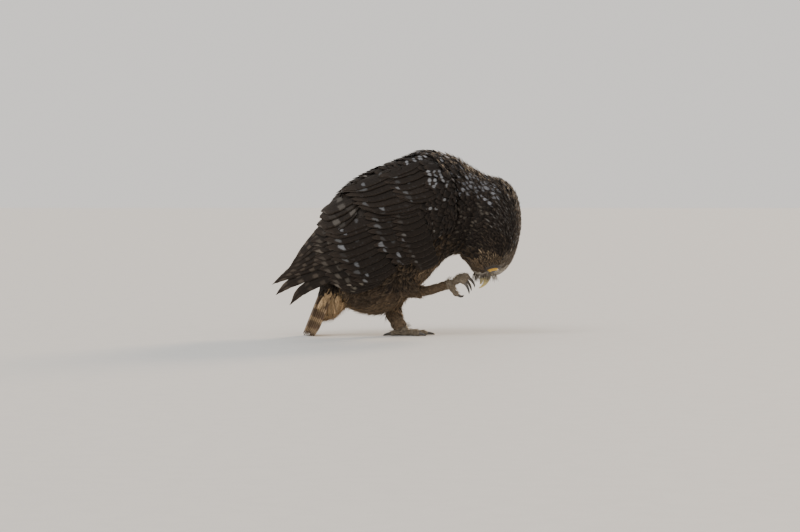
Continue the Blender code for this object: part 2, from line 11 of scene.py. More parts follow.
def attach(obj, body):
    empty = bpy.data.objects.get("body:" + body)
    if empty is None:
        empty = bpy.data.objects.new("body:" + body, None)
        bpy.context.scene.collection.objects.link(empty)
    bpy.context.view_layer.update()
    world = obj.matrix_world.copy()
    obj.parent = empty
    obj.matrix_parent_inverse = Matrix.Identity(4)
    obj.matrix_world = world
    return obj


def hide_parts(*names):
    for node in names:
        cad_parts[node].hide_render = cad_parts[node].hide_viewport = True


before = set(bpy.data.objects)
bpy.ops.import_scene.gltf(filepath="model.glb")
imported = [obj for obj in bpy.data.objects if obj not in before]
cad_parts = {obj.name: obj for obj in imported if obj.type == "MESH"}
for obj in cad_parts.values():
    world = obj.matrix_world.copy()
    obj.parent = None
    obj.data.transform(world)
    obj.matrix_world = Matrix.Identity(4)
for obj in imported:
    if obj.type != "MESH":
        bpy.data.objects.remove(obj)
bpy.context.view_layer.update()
mm = 0.001
dice = np.random.default_rng(7)

# Body slices from the rump to the face: back x, z, belly x, z, half width, fullness
bodyRows = np.array([
    (-71.0, 81.5, -51.5, 29.5, 17.0, 2.0),
    (-62.6, 113.2, -37.5, 21.4, 32.0, 2.0),
    (-47.9, 130.4, -19.5, 19.0, 39.0, 2.0),
    (-26.5, 143.4, 0.9, 30.0, 41.5, 2.0),
    (-4.4, 152.6, 18.9, 47.2, 41.5, 2.0),
    (17.6, 159.0, 31.6, 62.8, 39.5, 2.0),
    (38.0, 155.6, 40.2, 68.0, 36.0, 2.05),
    (57.2, 145.6, 45.4, 68.6, 33.0, 2.1),
    (75.0, 137.4, 48.8, 66.8, 31.5, 2.2),
    (90.6, 129.4, 51.4, 64.4, 31.5, 2.3),
    (99.3, 114.8, 53.2, 61.8, 31.5, 2.35),
    (101.2, 98.5, 55.2, 58.8, 30.5, 2.35),
    (99.4, 81.6, 57.6, 55.8, 28.5, 2.3),
    (95.2, 69.0, 60.4, 53.2, 24.5, 2.2),
    (88.0, 59.6, 64.2, 52.0, 17.5, 2.1),
    (80.2, 54.6, 69.2, 51.4, 9.0, 2.0),
])
stumpRows = np.array([
    (-78.0, 18.0, -75.0, 14.5, 3.5, 2.0),
    (-73.5, 33.0, -63.8, 16.2, 10.0, 2.0),
    (-71.5, 52.0, -55.8, 20.3, 14.0, 2.0),
    (-71.5, 67.0, -51.6, 24.2, 16.0, 2.0),
])
wingRows = np.vstack((np.array([
    (-117.0, 47.0, -99.0, 10.0, 6.5, 2.0),
    (-105.5, 60.5, -84.5, 11.0, 11.0, 2.0),
    (-92.5, 79.5, -69.0, 12.0, 18.0, 2.0),
    (-79.5, 98.0, -54.0, 15.0, 26.0, 2.0),
    (-65.0, 116.5, -39.5, 19.5, 35.0, 2.0),
]), bodyRows[2:]))

# The head's own frame: ahead is out of the face, crown is up the forehead
billRoot = np.array((69.4, 0.0, 54.2))
faceLean = math.radians(4)
ahead = np.array((math.sin(faceLean), 0.0, -math.cos(faceLean)))
crown = np.array((math.cos(faceLean), 0.0, math.sin(faceLean)))
leftward = np.array((0.0, 1.0, 0.0))
eye = {"up": 6.5, "side": 13.5, "depth": 7.4, "radius": 7.0, "opening": 5.7}
disc = {"radius": 17.0, "depth": 2.6, "rim": 1.0, "brow": 1.6, "socket": 2.2}


def unit(vector):
    return vector / np.maximum(np.linalg.norm(vector, axis=-1, keepdims=True), 1e-9)


def dot(first, second):
    return (first * second).sum(-1, keepdims=True)


def between(table, place):
    # the row at a fractional index, on a smooth curve through the rows
    table, place = np.asarray(table, float), np.asarray(place, float)
    last = len(table) - 1
    first = np.clip(np.floor(place).astype(int), 0, last - 1)
    t = (place - first)[..., None]
    a, b, c, d = (table[np.clip(first + k, 0, last)] for k in (-1, 0, 1, 2))
    return 0.5 * (2 * b + (c - a) * t + (2 * a - 5 * b + 4 * c - d) * t ** 2
                  + (3 * b - a - 3 * c + d) * t ** 3)


def onSlice(row, angle, out=0.0):
    # angle 0 is the left side, a quarter turn is the back; out is the height above the slice
    back, belly = row[..., 0:2], row[..., 2:4]
    middle, half = (back + belly) / 2, (back - belly) / 2
    length = np.linalg.norm(half, axis=-1)
    power = 2 / row[..., 5]
    up = np.sign(np.sin(angle)) * np.abs(np.sin(angle)) ** power
    across = np.sign(np.cos(angle)) * np.abs(np.cos(angle)) ** power
    spot = middle + half * ((length + out) / length * up)[..., None]
    return np.stack((spot[..., 0], (row[..., 4] + out) * across, spot[..., 1]), axis=-1)


def headPoint(forward, up, side=0.0):
    return billRoot + ahead * forward + crown * up + leftward * side


def inHead(points):
    # forward, up and side of points in the head's frame
    away = points - billRoot
    return away @ ahead, away @ crown, away[..., 1]


def faceRelief(points):
    # sinks the disc round each eye, and raises its rim and the ridge between the brows
    forward, up, side = inHead(points)
    reach = np.hypot(up - eye["up"], np.abs(side) - eye["side"])
    share = np.minimum(reach / disc["radius"], 1.0)
    sink = disc["depth"] * (1 - share ** 2) ** 2
    rim = disc["rim"] * np.exp(-((reach - disc["radius"]) / 3.0) ** 2)
    brow = disc["brow"] * np.exp(-(side / 4.0) ** 2) * np.exp(-((up - 10.0) / 8.0) ** 2)
    above = 0.35 + 0.65 * np.clip((up - eye["up"]) / 9.0, 0.0, 1.0)
    socket = disc["socket"] * np.exp(-((reach - 9.6) / 2.2) ** 2) * above
    fade = np.clip((forward + disc["radius"]) / 8.0, 0.0, 1.0)
    return points + ahead * ((rim + brow + socket - sink) * fade)[..., None]


def tube(path, radii, sides=20, ends=(None, None)):
    path = np.asarray(path, float)
    heading = unit(np.gradient(path, axis=0))
    for place, way in zip((0, -1), ends):
        if way is not None:
            heading[place] = way
    guide = np.where(np.abs(heading[:, 1:2]) < 0.8, leftward, np.array((0.0, 0.0, 1.0)))
    over = unit(np.cross(heading, guide))
    across = np.cross(over, heading)
    turn = 2 * math.pi * np.arange(sides)[:, None] / sides
    ring = np.cos(turn) * across[:, None] + np.sin(turn) * over[:, None]
    return path[:, None] + np.asarray(radii, float)[:, None, None] * ring


def closedLoft(rings):
    # points and faces of a tube through the rings, closed at both ends
    rings = np.asarray(rings)
    rows, sides = rings.shape[:2]
    points = np.vstack((rings.reshape(-1, 3), rings[0].mean(0), rings[-1].mean(0)))
    faces = []
    for r in range(rows - 1):
        for k in range(sides):
            a, b = r * sides + k, r * sides + (k + 1) % sides
            faces.append((a, b, b + sides, a + sides))
    top, end = (rows - 1) * sides, rows * sides
    for k in range(sides):
        after = (k + 1) % sides
        faces.append((end, after, k))
        faces.append((end + 1, top + k, top + after))
    return points, faces


def alongRings(rows, sides):
    # for each point of a closed loft, how far along it lies
    return np.concatenate((np.repeat(np.linspace(0, 1, rows), sides), (0.0, 1.0)))


def joined(parts):
    points, faces, start = [], [], 0
    for partPoints, partFaces in parts:
        points.append(partPoints)
        faces += [tuple(start + k for k in face) for face in partFaces]
        start += len(partPoints)
    return np.vstack(points), faces


def addPiece(name, points, faces, material=None):
    mesh = bpy.data.meshes.new(name)
    mesh.from_pydata((np.asarray(points) * mm).tolist(), [], faces)
    shape = bmesh.new()
    shape.from_mesh(mesh)
    bmesh.ops.recalc_face_normals(shape, faces=shape.faces)
    shape.to_mesh(mesh)
    shape.free()
    mesh.shade_smooth()
    if material:
        mesh.materials.append(material)
    piece = bpy.data.objects.new(name, mesh)
    bpy.context.scene.collection.objects.link(piece)
    return piece


def applyModifiers(piece):
    graph = bpy.context.evaluated_depsgraph_get()
    mesh = bpy.data.meshes.new_from_object(piece.evaluated_get(graph))
    piece.modifiers.clear()
    old = piece.data
    piece.data = mesh
    bpy.data.meshes.remove(old)
    mesh.shade_smooth()


def fuse(name, parts, voxel, rounds, material):
    # one closed surface round all the parts, softened where they meet
    piece = addPiece(name, *joined(parts), material)
    remesh = piece.modifiers.new("fuse", "REMESH")
    remesh.mode = "VOXEL"
    remesh.voxel_size = voxel * mm
    soften = piece.modifiers.new("soften", "SMOOTH")
    soften.factor = 0.5
    soften.iterations = rounds
    applyModifiers(piece)
    return piece


def settle(piece, slot, *nodes):
    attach(piece, "root")
    if nodes:
        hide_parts(*nodes)


# Materials

def add(tree, kind, inputs=(), **settings):
    node = tree.nodes.new("ShaderNode" + kind)
    for key, value in settings.items():
        setattr(node, key, value)
    for key, value in dict(inputs).items():
        if isinstance(value, bpy.types.NodeSocket):
            tree.links.new(value, node.inputs[key])
        else:
            node.inputs[key].default_value = value
    return node


def maths(tree, operation, *values):
    return add(tree, "Math", enumerate(values), operation=operation).outputs[0]


def ramp(tree, value, low, high, first=0.0, second=1.0):
    inputs = {0: value, 1: low, 2: high, 3: first, 4: second}
    return add(tree, "MapRange", inputs, interpolation_type="SMOOTHSTEP").outputs[0]


def mixed(tree, share, first, second, mode="MIX"):
    first, second = ((*value, 1.0) if isinstance(value, tuple) else value for value in (first, second))
    inputs = {0: share, 6: first, 7: second}
    return add(tree, "Mix", inputs, data_type="RGBA", blend_type=mode).outputs[2]


def tinted(tree, colour, by):
    return mixed(tree, 1.0, colour, by, "MULTIPLY")


def vectors(tree, operation, *values):
    node = add(tree, "VectorMath", enumerate(values), operation=operation)
    return node.outputs["Value" if operation == "LENGTH" else "Vector"]


def split(tree, vector):
    return add(tree, "SeparateXYZ", {0: vector}).outputs[:]


def noise(tree, vector, scale, detail=2.0):
    return add(tree, "TexNoise", {"Vector": vector, "Scale": scale, "Detail": detail}).outputs[0]


def attribute(tree, name, output="Vector"):
    return add(tree, "Attribute", attribute_name=name).outputs[output]


def place3d(tree):
    return add(tree, "TexCoord").outputs["Object"]


def paint(tree, shader, colour):
    tree.links.new(colour, shader.inputs["Base Color"])


def bump(tree, shader, height, strength, depth):
    inputs = {"Height": height, "Strength": strength, "Distance": depth * mm}
    tree.links.new(add(tree, "Bump", inputs).outputs[0], shader.inputs["Normal"])


def newMaterial(name, rough, **sockets):
    made = bpy.data.materials.new(name)
    made.use_nodes = True
    shader = made.node_tree.nodes["Principled BSDF"]
    shader.inputs["Roughness"].default_value = rough
    for socket, value in sockets.items():
        shader.inputs[socket.replace("_", " ")].default_value = value
    return made, made.node_tree, shader


def spotMask(tree, away, outer, inner):
    # 1 inside a spot of the vane's own size, 0 outside it
    scaled = vectors(tree, "DIVIDE", away, attribute(tree, "spotSize"))
    return ramp(tree, vectors(tree, "LENGTH", scaled), outer, inner)


def barMask(tree, moved, edge, bounds):
    # bars over the vane that fade at its shaft, in the vane's own number and place
    spacing, shift = (split(tree, attribute(tree, label))[0] for label in ("spotSize", "spotPlace"))
    count = maths(tree, "MULTIPLY_ADD", split(tree, moved)[1], spacing, shift)
    wave = maths(tree, "SINE", maths(tree, "MULTIPLY", count, 2 * math.pi))
    return maths(tree, "MULTIPLY", ramp(tree, wave, *bounds), ramp(tree, edge, 0.1, 0.42))


def plumage(name, look):
    # colour and relief of a vane from the numbers that each vane carries
    made, tree, shader = newMaterial(name, look["rough"], Sheen_Weight=look["sheen"],
                                     Sheen_Roughness=0.5, Specular_IOR_Level=0.14)
    vane, share = attribute(tree, "vane"), attribute(tree, "share")
    vaneAcross, vaneAlong = split(tree, vane)[:2]  # in mm from the shaft and from the root
    shareAcross, shareAlong = split(tree, share)[:2]  # 1 at the edge and at the tip
    across, edge = (maths(tree, "ABSOLUTE", value) for value in (vaneAcross, shareAcross))
    grain = noise(tree, vane, look["grain"], 3.0)
    skewed = maths(tree, "MULTIPLY_ADD", across, -look["slant"], vaneAlong)
    wavy = maths(tree, "MULTIPLY_ADD", grain, look["pitch"] * 0.9, skewed)
    barbs = maths(tree, "SINE", maths(tree, "MULTIPLY", wavy, 2 * math.pi / look["pitch"]))
    shift = maths(tree, "MULTIPLY_ADD", barbs, look["barbShift"],
                  maths(tree, "MULTIPLY", grain, look["grainShift"]))
    moved = vectors(tree, "ADD", share, add(tree, "CombineXYZ", {1: shift}).outputs[0])
    if look["bars"]:
        mask = barMask(tree, moved, edge, look["bars"])
    else:
        away = vectors(tree, "SUBTRACT", moved, attribute(tree, "spotPlace"))
        mask = spotMask(tree, away, 1.25, 0.6)
        if look["twin"]:  # a fainter spot nearer the root, on the other side of the shaft
            twin = spotMask(tree, vectors(tree, "SUBTRACT", away, look["twinPlace"]), 1.3, 0.5)
            mask = maths(tree, "MAXIMUM", mask, maths(tree, "MULTIPLY", twin, look["twin"]))
    mask = maths(tree, "MULTIPLY", mask, attribute(tree, "mark", "Alpha"))
    cloud = noise(tree, vane, look["fleckScale"], 3.0)
    fleck = maths(tree, "MULTIPLY", ramp(tree, cloud, 0.54, 0.7), look["fleck"])
    mask = maths(tree, "MAXIMUM", mask, maths(tree, "MULTIPLY", fleck, ramp(tree, edge, 0.25, 0.7)))
    ground = tinted(tree, attribute(tree, "ground", "Color"), ramp(tree, grain, 0.3, 0.7, 0.74, 1.25))
    colour = mixed(tree, mask, ground, attribute(tree, "mark", "Color"))
    rim = ramp(tree, maths(tree, "MAXIMUM", edge, shareAlong), 0.68, 1.0)
    colour = mixed(tree, maths(tree, "MULTIPLY", rim, look["fringeShare"]), colour, look["fringe"])
    shaft = ramp(tree, across, 0.3, 0.08)
    colour = mixed(tree, maths(tree, "MULTIPLY", shaft, look["shaftShare"]), colour, look["shaft"])
    # darker in the grooves between the barbs: painted shade of the barbs' relief
    paint(tree, shader, tinted(tree, colour, ramp(tree, barbs, -1.0, 0.6, look["grooveShade"], 1.0)))
    height = maths(tree, "MULTIPLY_ADD", grain, 0.8, maths(tree, "MULTIPLY", barbs, 0.5))
    bump(tree, shader, height, look["bump"], 0.08)
    return made


print("materials")
# shared by all vanes: how far barbs and grain move a spot's edge, and where a second spot lies
vaneLook = {"barbShift": 0.005, "grainShift": 0.06, "twin": 0.0, "twinPlace": (0.75, -0.3, 0.0),
            "bars": None}
darkLook = {"fringe": (0.055, 0.039, 0.028), "shaft": (0.006, 0.0045, 0.003), "grooveShade": 0.72}
featherLook = {
    "dark": dict(name="darkSpottedPlumage", rough=0.7, sheen=0.04, grain=0.9, slant=0.9, pitch=0.42,
                 bump=0.6, fringeShare=0.42, shaftShare=0.5, twin=0.4, fleck=0.14, fleckScale=0.5,
                 **darkLook),
    "pale": dict(name="paleStreakedPlumage", rough=0.8, sheen=0.08, grain=0.7, slant=1.2, pitch=0.44,
                 bump=0.5, fringeShare=0.3, shaftShare=0.2, fleck=0.2, fleckScale=0.4,
                 fringe=(0.36, 0.26, 0.16), shaft=(0.08, 0.055, 0.035), grooveShade=0.78),
    "flight": dict(name="barredFlightFeather", rough=0.56, sheen=0.02, grain=0.5, slant=0.8, pitch=0.38,
                   bump=0.45, fringeShare=0.4, shaftShare=0.8, fleck=0.1, fleckScale=0.45,
                   bars=(0.2, 0.75), **darkLook),
}
featherMaterials = {key: plumage(look["name"], {**vaneLook, **look}) for key, look in featherLook.items()}


def skinMaterial():
    made, tree, shader = newMaterial("downyUndercoat", 0.9, Sheen_Weight=0.25)
    down = noise(tree, place3d(tree), 900.0, 4.0)
    patches = noise(tree, place3d(tree), 160.0, 2.0)
    tint = maths(tree, "MULTIPLY", ramp(tree, down, 0.3, 0.7, 0.55, 1.15),
                 ramp(tree, patches, 0.3, 0.7, 0.8, 1.15))
    paint(tree, shader, tinted(tree, attribute(tree, "ground", "Color"), tint))
    bump(tree, shader, down, 0.8, 0.5)
    return made


# The skin: body, stump of the tail, thighs, shanks and the fore part of each folded wing

thighs = {
    "left": (((-5.0, 16.0, 52.0), (-8.5, 15.0, 38.0), (-9.7, 10.5, 23.0)), (15.0, 12.5, 6.0)),
    "right": (((-12.0, -17.0, 58.0), (-2.0, -18.0, 47.0), (8.0, -16.5, 39.4)), (15.0, 12.5, 6.4)),
}
ankles = {"left": np.array((-13.2, 6.0, 24.5)), "right": np.array((10.0, -14.6, 39.4))}
feet = {"left": np.array((0.0, 0.0, 5.0)), "right": np.array((41.0, -10.0, 44.6))}
tailWay = unit(np.array((-21.5, 0.0, -54.0)))
skinLook = {
    "voxel": 0.85, "rounds": 5,
    # how deep the skin lies under the coat, from the tail's front to the face
    "depth": ((-4, -2, 0, 1, 2.6, 3.9, 4.05, 4.5, 4.7, 5.6, 6.3, 7, 7.7, 8.4, 9.5, 12.5, 15),
              (1.5, 2.6, 2.8, 2.2, 2.4, 3.5, 2.9, 3.0, 1.7, 2.6, 2.2, 3.0, 4.5, 1.5, 2.6, 2.6, 1.0)),
    "thighDepth": 2.0, "shankDepth": 0.9, "wingDepth": 1.8,
    "shank": {"left": (5.0, 5.9, 6.0), "right": (4.7, 4.2, 3.8)},  # radii from the thigh down
    # the wing's fore part: body slice, its lower and upper edge in degrees, and how thick it is
    "foreWing": ((4.7, -22, 66, 3.0), (5.4, -24, 68, 3.4), (6.8, -27, 66, 4.0), (8.0, -29, 58, 4.4),
                 (8.9, -27, 38, 3.4), (9.3, -12, 18, 1.8)),
}


def legPath(side):
    # middle line of the shank from the thigh's end into the foot
    path = between(thighs[side][0], np.linspace(0, 2, 7))
    leave = unit(path[-1] - path[-2])
    start, down = path[-1] - leave * 2, unit(feet[side] - ankles[side])
    end = feet[side] - down * 1.5 - np.array((1.7 if side == "left" else 0.0, 0.0, 0.0))
    pull = np.linalg.norm(end - start) * 0.3
    t = np.linspace(0, 1, 14)[:, None]
    return (start * (1 - t) ** 3 + (start + leave * pull) * 3 * t * (1 - t) ** 2
            + (end - down * pull) * 3 * t ** 2 * (1 - t) + end * t ** 3)


def wingPoint(place, angle, out, side=1):
    spot = onSlice(between(wingRows, place), angle, 1.0 + out)
    return spot * np.array((1.0, side, 1.0))


def bodyPart():
    # trunk, neck and head: rings, which way the feathers lie, and the place on the bake map
    rows = np.vstack((stumpRows, bodyRows))
    places = np.linspace(-4, 15, 115)
    turns = 2 * math.pi * np.arange(72) / 72
    table = between(rows, places + 4)[:, None]
    depth = np.interp(places, *skinLook["depth"])[:, None]
    flat = onSlice(table, turns[None], -depth)
    rings = list(faceRelief(flat))
    middle = flat[-1].mean(0)
    rings += [faceRelief(middle + (flat[-1] - middle) * share) for share in (0.75, 0.5, 0.25)]
    spine = table[:, 0, 0:2] - table[:, 0, 2:4]
    back = -unit(np.stack((spine[:, 1], 0 * places, -spine[:, 0]), axis=-1))
    turning = np.clip(places / 1.8, 0.0, 1.0)[:, None]
    back = unit(back * turning + tailWay * (1 - turning))
    droop = np.cos(turns) ** 2 * 0.45
    flow = back[:, None] + np.array((0, 0, -1.0)) * (droop[None] * (places > 0.5)[:, None]
                                                   * (places < 7)[:, None])[..., None]
    flow = np.vstack((flow, np.repeat(flow[-1:], 3, axis=0)))
    around = np.broadcast_to(((turns / (2 * math.pi) + 0.25) % 1.0)[None], (118, 72))
    along = np.broadcast_to(np.linspace(0.0, 0.78, 118)[:, None], (118, 72))
    return rings, flow, np.stack((around, along), axis=-1)


def foreWingPart(place, side):
    outline = between(skinLook["foreWing"], np.linspace(0, 5, 26))
    turn = np.linspace(0, 2 * math.pi, 40, endpoint=False)
    share = 0.5 + 0.5 * np.cos(turn)
    angle = np.radians(outline[:, 1:2] + (outline[:, 2:3] - outline[:, 1:2]) * share)
    thick = (outline[:, 3:4] + 1.3 - skinLook["wingDepth"]) * np.maximum(np.sin(turn), 0) ** 0.6
    rings = wingPoint(np.repeat(outline[:, :1], 40, 1), angle, thick - 2.5 * (np.sin(turn) < 0), side)
    flow = np.broadcast_to(unit(np.array((-0.9, 0.0, -0.4))), rings.shape)
    uv = np.stack(np.broadcast_arrays(0.8 + 0.1 * place + 0.1 * share[None],
                                      np.linspace(0.8, 1, 26)[:, None]), axis=-1)
    return rings, flow, uv


def legPart(path, radii, left):
    rings = tube(path, radii, 28)
    flow = np.repeat(unit(np.gradient(path, axis=0))[:, None], 28, axis=1)
    uv = np.stack(np.broadcast_arrays(left + 0.19 * np.arange(28)[None] / 28,
                                      np.linspace(0.8, 0.99, len(path))[:, None]), axis=-1)
    return rings, flow, uv


def skinParts():
    parts = [bodyPart()]
    for place, side in enumerate(("left", "right")):
        path = between(thighs[side][0], np.linspace(0, 2, 12))
        radii = between(np.array(thighs[side][1])[:, None], np.linspace(0, 2, 12))[:, 0]
        radii[0] *= 0.55
        parts.append(legPart(path, radii - skinLook["thighDepth"], place * 0.2))
        path = legPath(side)
        radii = np.interp(np.linspace(0, 1, len(path)), (0, 0.3, 1), skinLook["shank"][side])
        parts.append(legPart(path, radii - skinLook["shankDepth"], 0.4 + place * 0.2))
    return parts + [foreWingPart(place, side) for place, side in enumerate((1, -1))]


def surfaceOf(piece):
    # the numbers of a mesh that feathers are rooted on
    mesh = piece.data
    points = np.empty(len(mesh.vertices) * 3)
    mesh.vertices.foreach_get("co", points)
    normals = np.empty(len(mesh.vertices) * 3)
    mesh.vertices.foreach_get("normal", normals)
    faces = np.empty(len(mesh.loops), int)
    mesh.loops.foreach_get("vertex_index", faces)
    form = {"points": points.reshape(-1, 3) / mm, "normals": normals.reshape(-1, 3),
            "faces": faces.reshape(-1, 4)}
    form["tree"] = BVHTree.FromPolygons(form["points"].tolist(), form["faces"].tolist())
    form["normals"] = unit(smoothed(form, form["normals"], 6))
    return form


def smoothed(form, values, rounds):
    # averages a number of each point with its neighbours'
    faces = form["faces"]
    ends = np.vstack([faces[:, [k, (k + 1) % 4]] for k in range(4)])
    links = np.bincount(ends[:, 0], minlength=len(values))[:, None]
    for _ in range(rounds):
        total = np.stack([np.bincount(ends[:, 0], values[ends[:, 1], k], len(values))
                          for k in range(values.shape[1])], axis=1)
        values = (values + total) / (1 + links)
    return values


def valueAt(form, name, index, spots):
    corners = form["faces"][index]
    gap = np.linalg.norm(form["points"][corners] - spots[:, None], axis=2)
    weight = 1 / (gap ** 2 + 0.01)
    values = form[name][corners]
    return (values * weight[..., None]).sum(1) / weight.sum(1)[:, None]


def nearest(form, spots):
    hits = [form["tree"].find_nearest(spot) for spot in spots.tolist()]
    return np.array([hit[0][:] for hit in hits]), np.array([hit[2] for hit in hits])


print("skin")
parts = skinParts()
skinPiece = fuse("skin", [closedLoft(part[0]) for part in parts],
                 skinLook["voxel"], skinLook["rounds"], skinMaterial())
skin = surfaceOf(skinPiece)
samples = [np.concatenate([np.asarray(part[k]).reshape(-1, (3, 3, 2)[k]) for part in parts])
           for k in range(3)]
finder = KDTree(len(samples[0]))
for place, spot in enumerate(samples[0].tolist()):
    finder.insert(spot, place)
finder.balance()
source = np.array([finder.find(spot)[1] for spot in skin["points"].tolist()])
partOf = np.concatenate([np.full(np.size(part[0]) // 3, k) for k, part in enumerate(parts)])[source]
skin["flow"], skin["bake"] = samples[1][source], samples[2][source]
forward, up, side = inHead(skin["points"])
fromEye = skin["points"] - (headPoint(-3.0, eye["up"]) + leftward * eye["side"] * np.sign(side)[:, None])
reach = np.linalg.norm(fromEye, axis=1)
faceShare = (np.clip((22 - reach) / 6, 0, 1) * np.clip((forward + 18) / 6, 0, 1))[:, None]
fromBill = unit(skin["points"] - headPoint(2.0, 1.0))
outwards = unit(unit(fromEye) + 0.7 * fromBill)
skin["flow"] = skin["flow"] * (1 - faceShare) + outwards * faceShare
skin["flow"] = skin["flow"] - skin["normals"] * dot(skin["flow"], skin["normals"])
skin["flow"] = unit(smoothed(skin, unit(skin["flow"]), 30))
print("skin points", len(skin["points"]))


# Vanes: every feather is a thin closed blade on a grid, wider than it is thick

def carry(mesh, label, values):
    # values of the points: one number, a vector or a colour each
    wide = values.shape[1] if values.ndim > 1 else 1
    kind, key = {1: ("FLOAT", "value"), 3: ("FLOAT_VECTOR", "vector"), 4: ("FLOAT_COLOR", "color")}[wide]
    mesh.attributes.new(label, kind, "POINT").data.foreach_set(key, values.reshape(-1))


def opaque(colours):
    return np.hstack((colours, np.ones((len(colours), 1))))


def blades(grid, up, thick):
    # points and faces of closed blades: the grids are their upper sides, thickest at the shaft
    count, rows, columns = grid.shape[:3]
    depth = thick * np.sqrt(np.maximum(1 - np.linspace(-1, 1, columns) ** 2, 0))[1:-1]
    inner = grid[:, 1:-1, 1:-1] - up[:, 1:-1, None] * depth[None, None, :, None]
    points = np.concatenate((grid.reshape(count, -1, 3), inner.reshape(count, -1, 3)), axis=1)
    under = np.arange(rows * columns).reshape(rows, columns)
    under[1:-1, 1:-1] = rows * columns + np.arange((rows - 2) * (columns - 2)).reshape(rows - 2, -1)
    over = np.arange(rows * columns).reshape(rows, columns)
    faces = np.concatenate([
        np.stack((over[:-1, :-1], over[1:, :-1], over[1:, 1:], over[:-1, 1:]), -1).reshape(-1, 4),
        np.stack((under[:-1, :-1], under[:-1, 1:], under[1:, 1:], under[1:, :-1]), -1).reshape(-1, 4),
    ])
    return points, faces


def weave(name, finish, grid, up, half, share, looks, bake, thick):
    # grid is feathers x rows x columns x 3; looks holds each feather's colours and spot
    count, rows, columns = grid.shape[:3]
    points, faces = blades(grid, up, thick)
    each = points.shape[1]
    loops = (faces[None] + each * np.arange(count)[:, None, None]).reshape(-1)
    mesh = bpy.data.meshes.new(name)
    mesh.vertices.add(count * each)
    mesh.vertices.foreach_set("co", (points * mm).reshape(-1))
    mesh.loops.add(len(loops))
    mesh.loops.foreach_set("vertex_index", loops)
    mesh.polygons.add(len(loops) // 4)
    mesh.polygons.foreach_set("loop_start", np.arange(0, len(loops), 4))
    mesh.update(calc_edges=True)
    mesh.shade_smooth()
    across = half[..., None] * np.linspace(-1, 1, columns)
    along = looks["length"][:, None, None] * share[1]
    own = np.broadcast_to(looks["own"][:, None, None], along.shape)  # each vane's own number
    both = np.concatenate((np.arange(rows * columns),
                           np.arange(rows * columns).reshape(rows, columns)[1:-1, 1:-1].reshape(-1)))

    def spread(values):
        return values.reshape(count, rows * columns, -1)[:, both].reshape(count * each, -1)

    carry(mesh, "vane", spread(np.stack((across, along, own), -1)))
    carry(mesh, "share", spread(np.stack((share[0], share[1], 0 * along), -1)))
    for label in ("ground", "mark", "spotPlace", "spotSize"):
        carry(mesh, label, np.repeat(looks[label], each, axis=0))
    cell = np.stack((share[0] * 0.5 * bake["wide"], share[1] * bake["long"]), -1)
    cell = spread(cell + bake["root"][:, None, None])
    mesh.uv_layers.new(name="OFBake").data.foreach_set("uv", cell[loops].reshape(-1))
    mesh.materials.append(finish)
    piece = bpy.data.objects.new(name, mesh)
    bpy.context.scene.collection.objects.link(piece)
    return piece


def shares(count, rows, columns, twoSided):
    u = np.linspace(-1, 1, columns)
    across = np.broadcast_to(np.abs(u) if twoSided else u, (count, rows, columns))
    return across, np.broadcast_to(np.linspace(0, 1, rows)[:, None], (count, rows, columns))


vaneForms = {
    # profile: along, width; round and jag: how much shorter the edges and how ragged the tip
    "contour": dict(rows=9, columns=7, profile=((0, 0.15, 0.5, 0.8, 1), (0.2, 0.6, 1, 0.95, 0.62)),
                    round=0.3, jag=0.05, cut=0.02, thick=0.22, camber=0.1),
    "loose": dict(rows=9, columns=9, profile=((0, 0.2, 0.6, 0.85, 1), (0.2, 0.7, 1, 0.85, 0.5)),
                  round=0.3, jag=0.13, cut=0.06, thick=0.2, camber=0.06),
    "small": dict(rows=6, columns=7, profile=((0, 0.2, 0.6, 0.85, 1), (0.25, 0.75, 1, 0.92, 0.6)),
                  round=0.3, jag=0.06, cut=0.03, thick=0.16, camber=0.1),
    "strand": dict(rows=6, columns=3, profile=((0, 0.3, 0.7, 1), (0.6, 1, 0.7, 0.08)),
                   round=0.05, jag=0.0, cut=0.0, thick=0.14, camber=0.0),
}


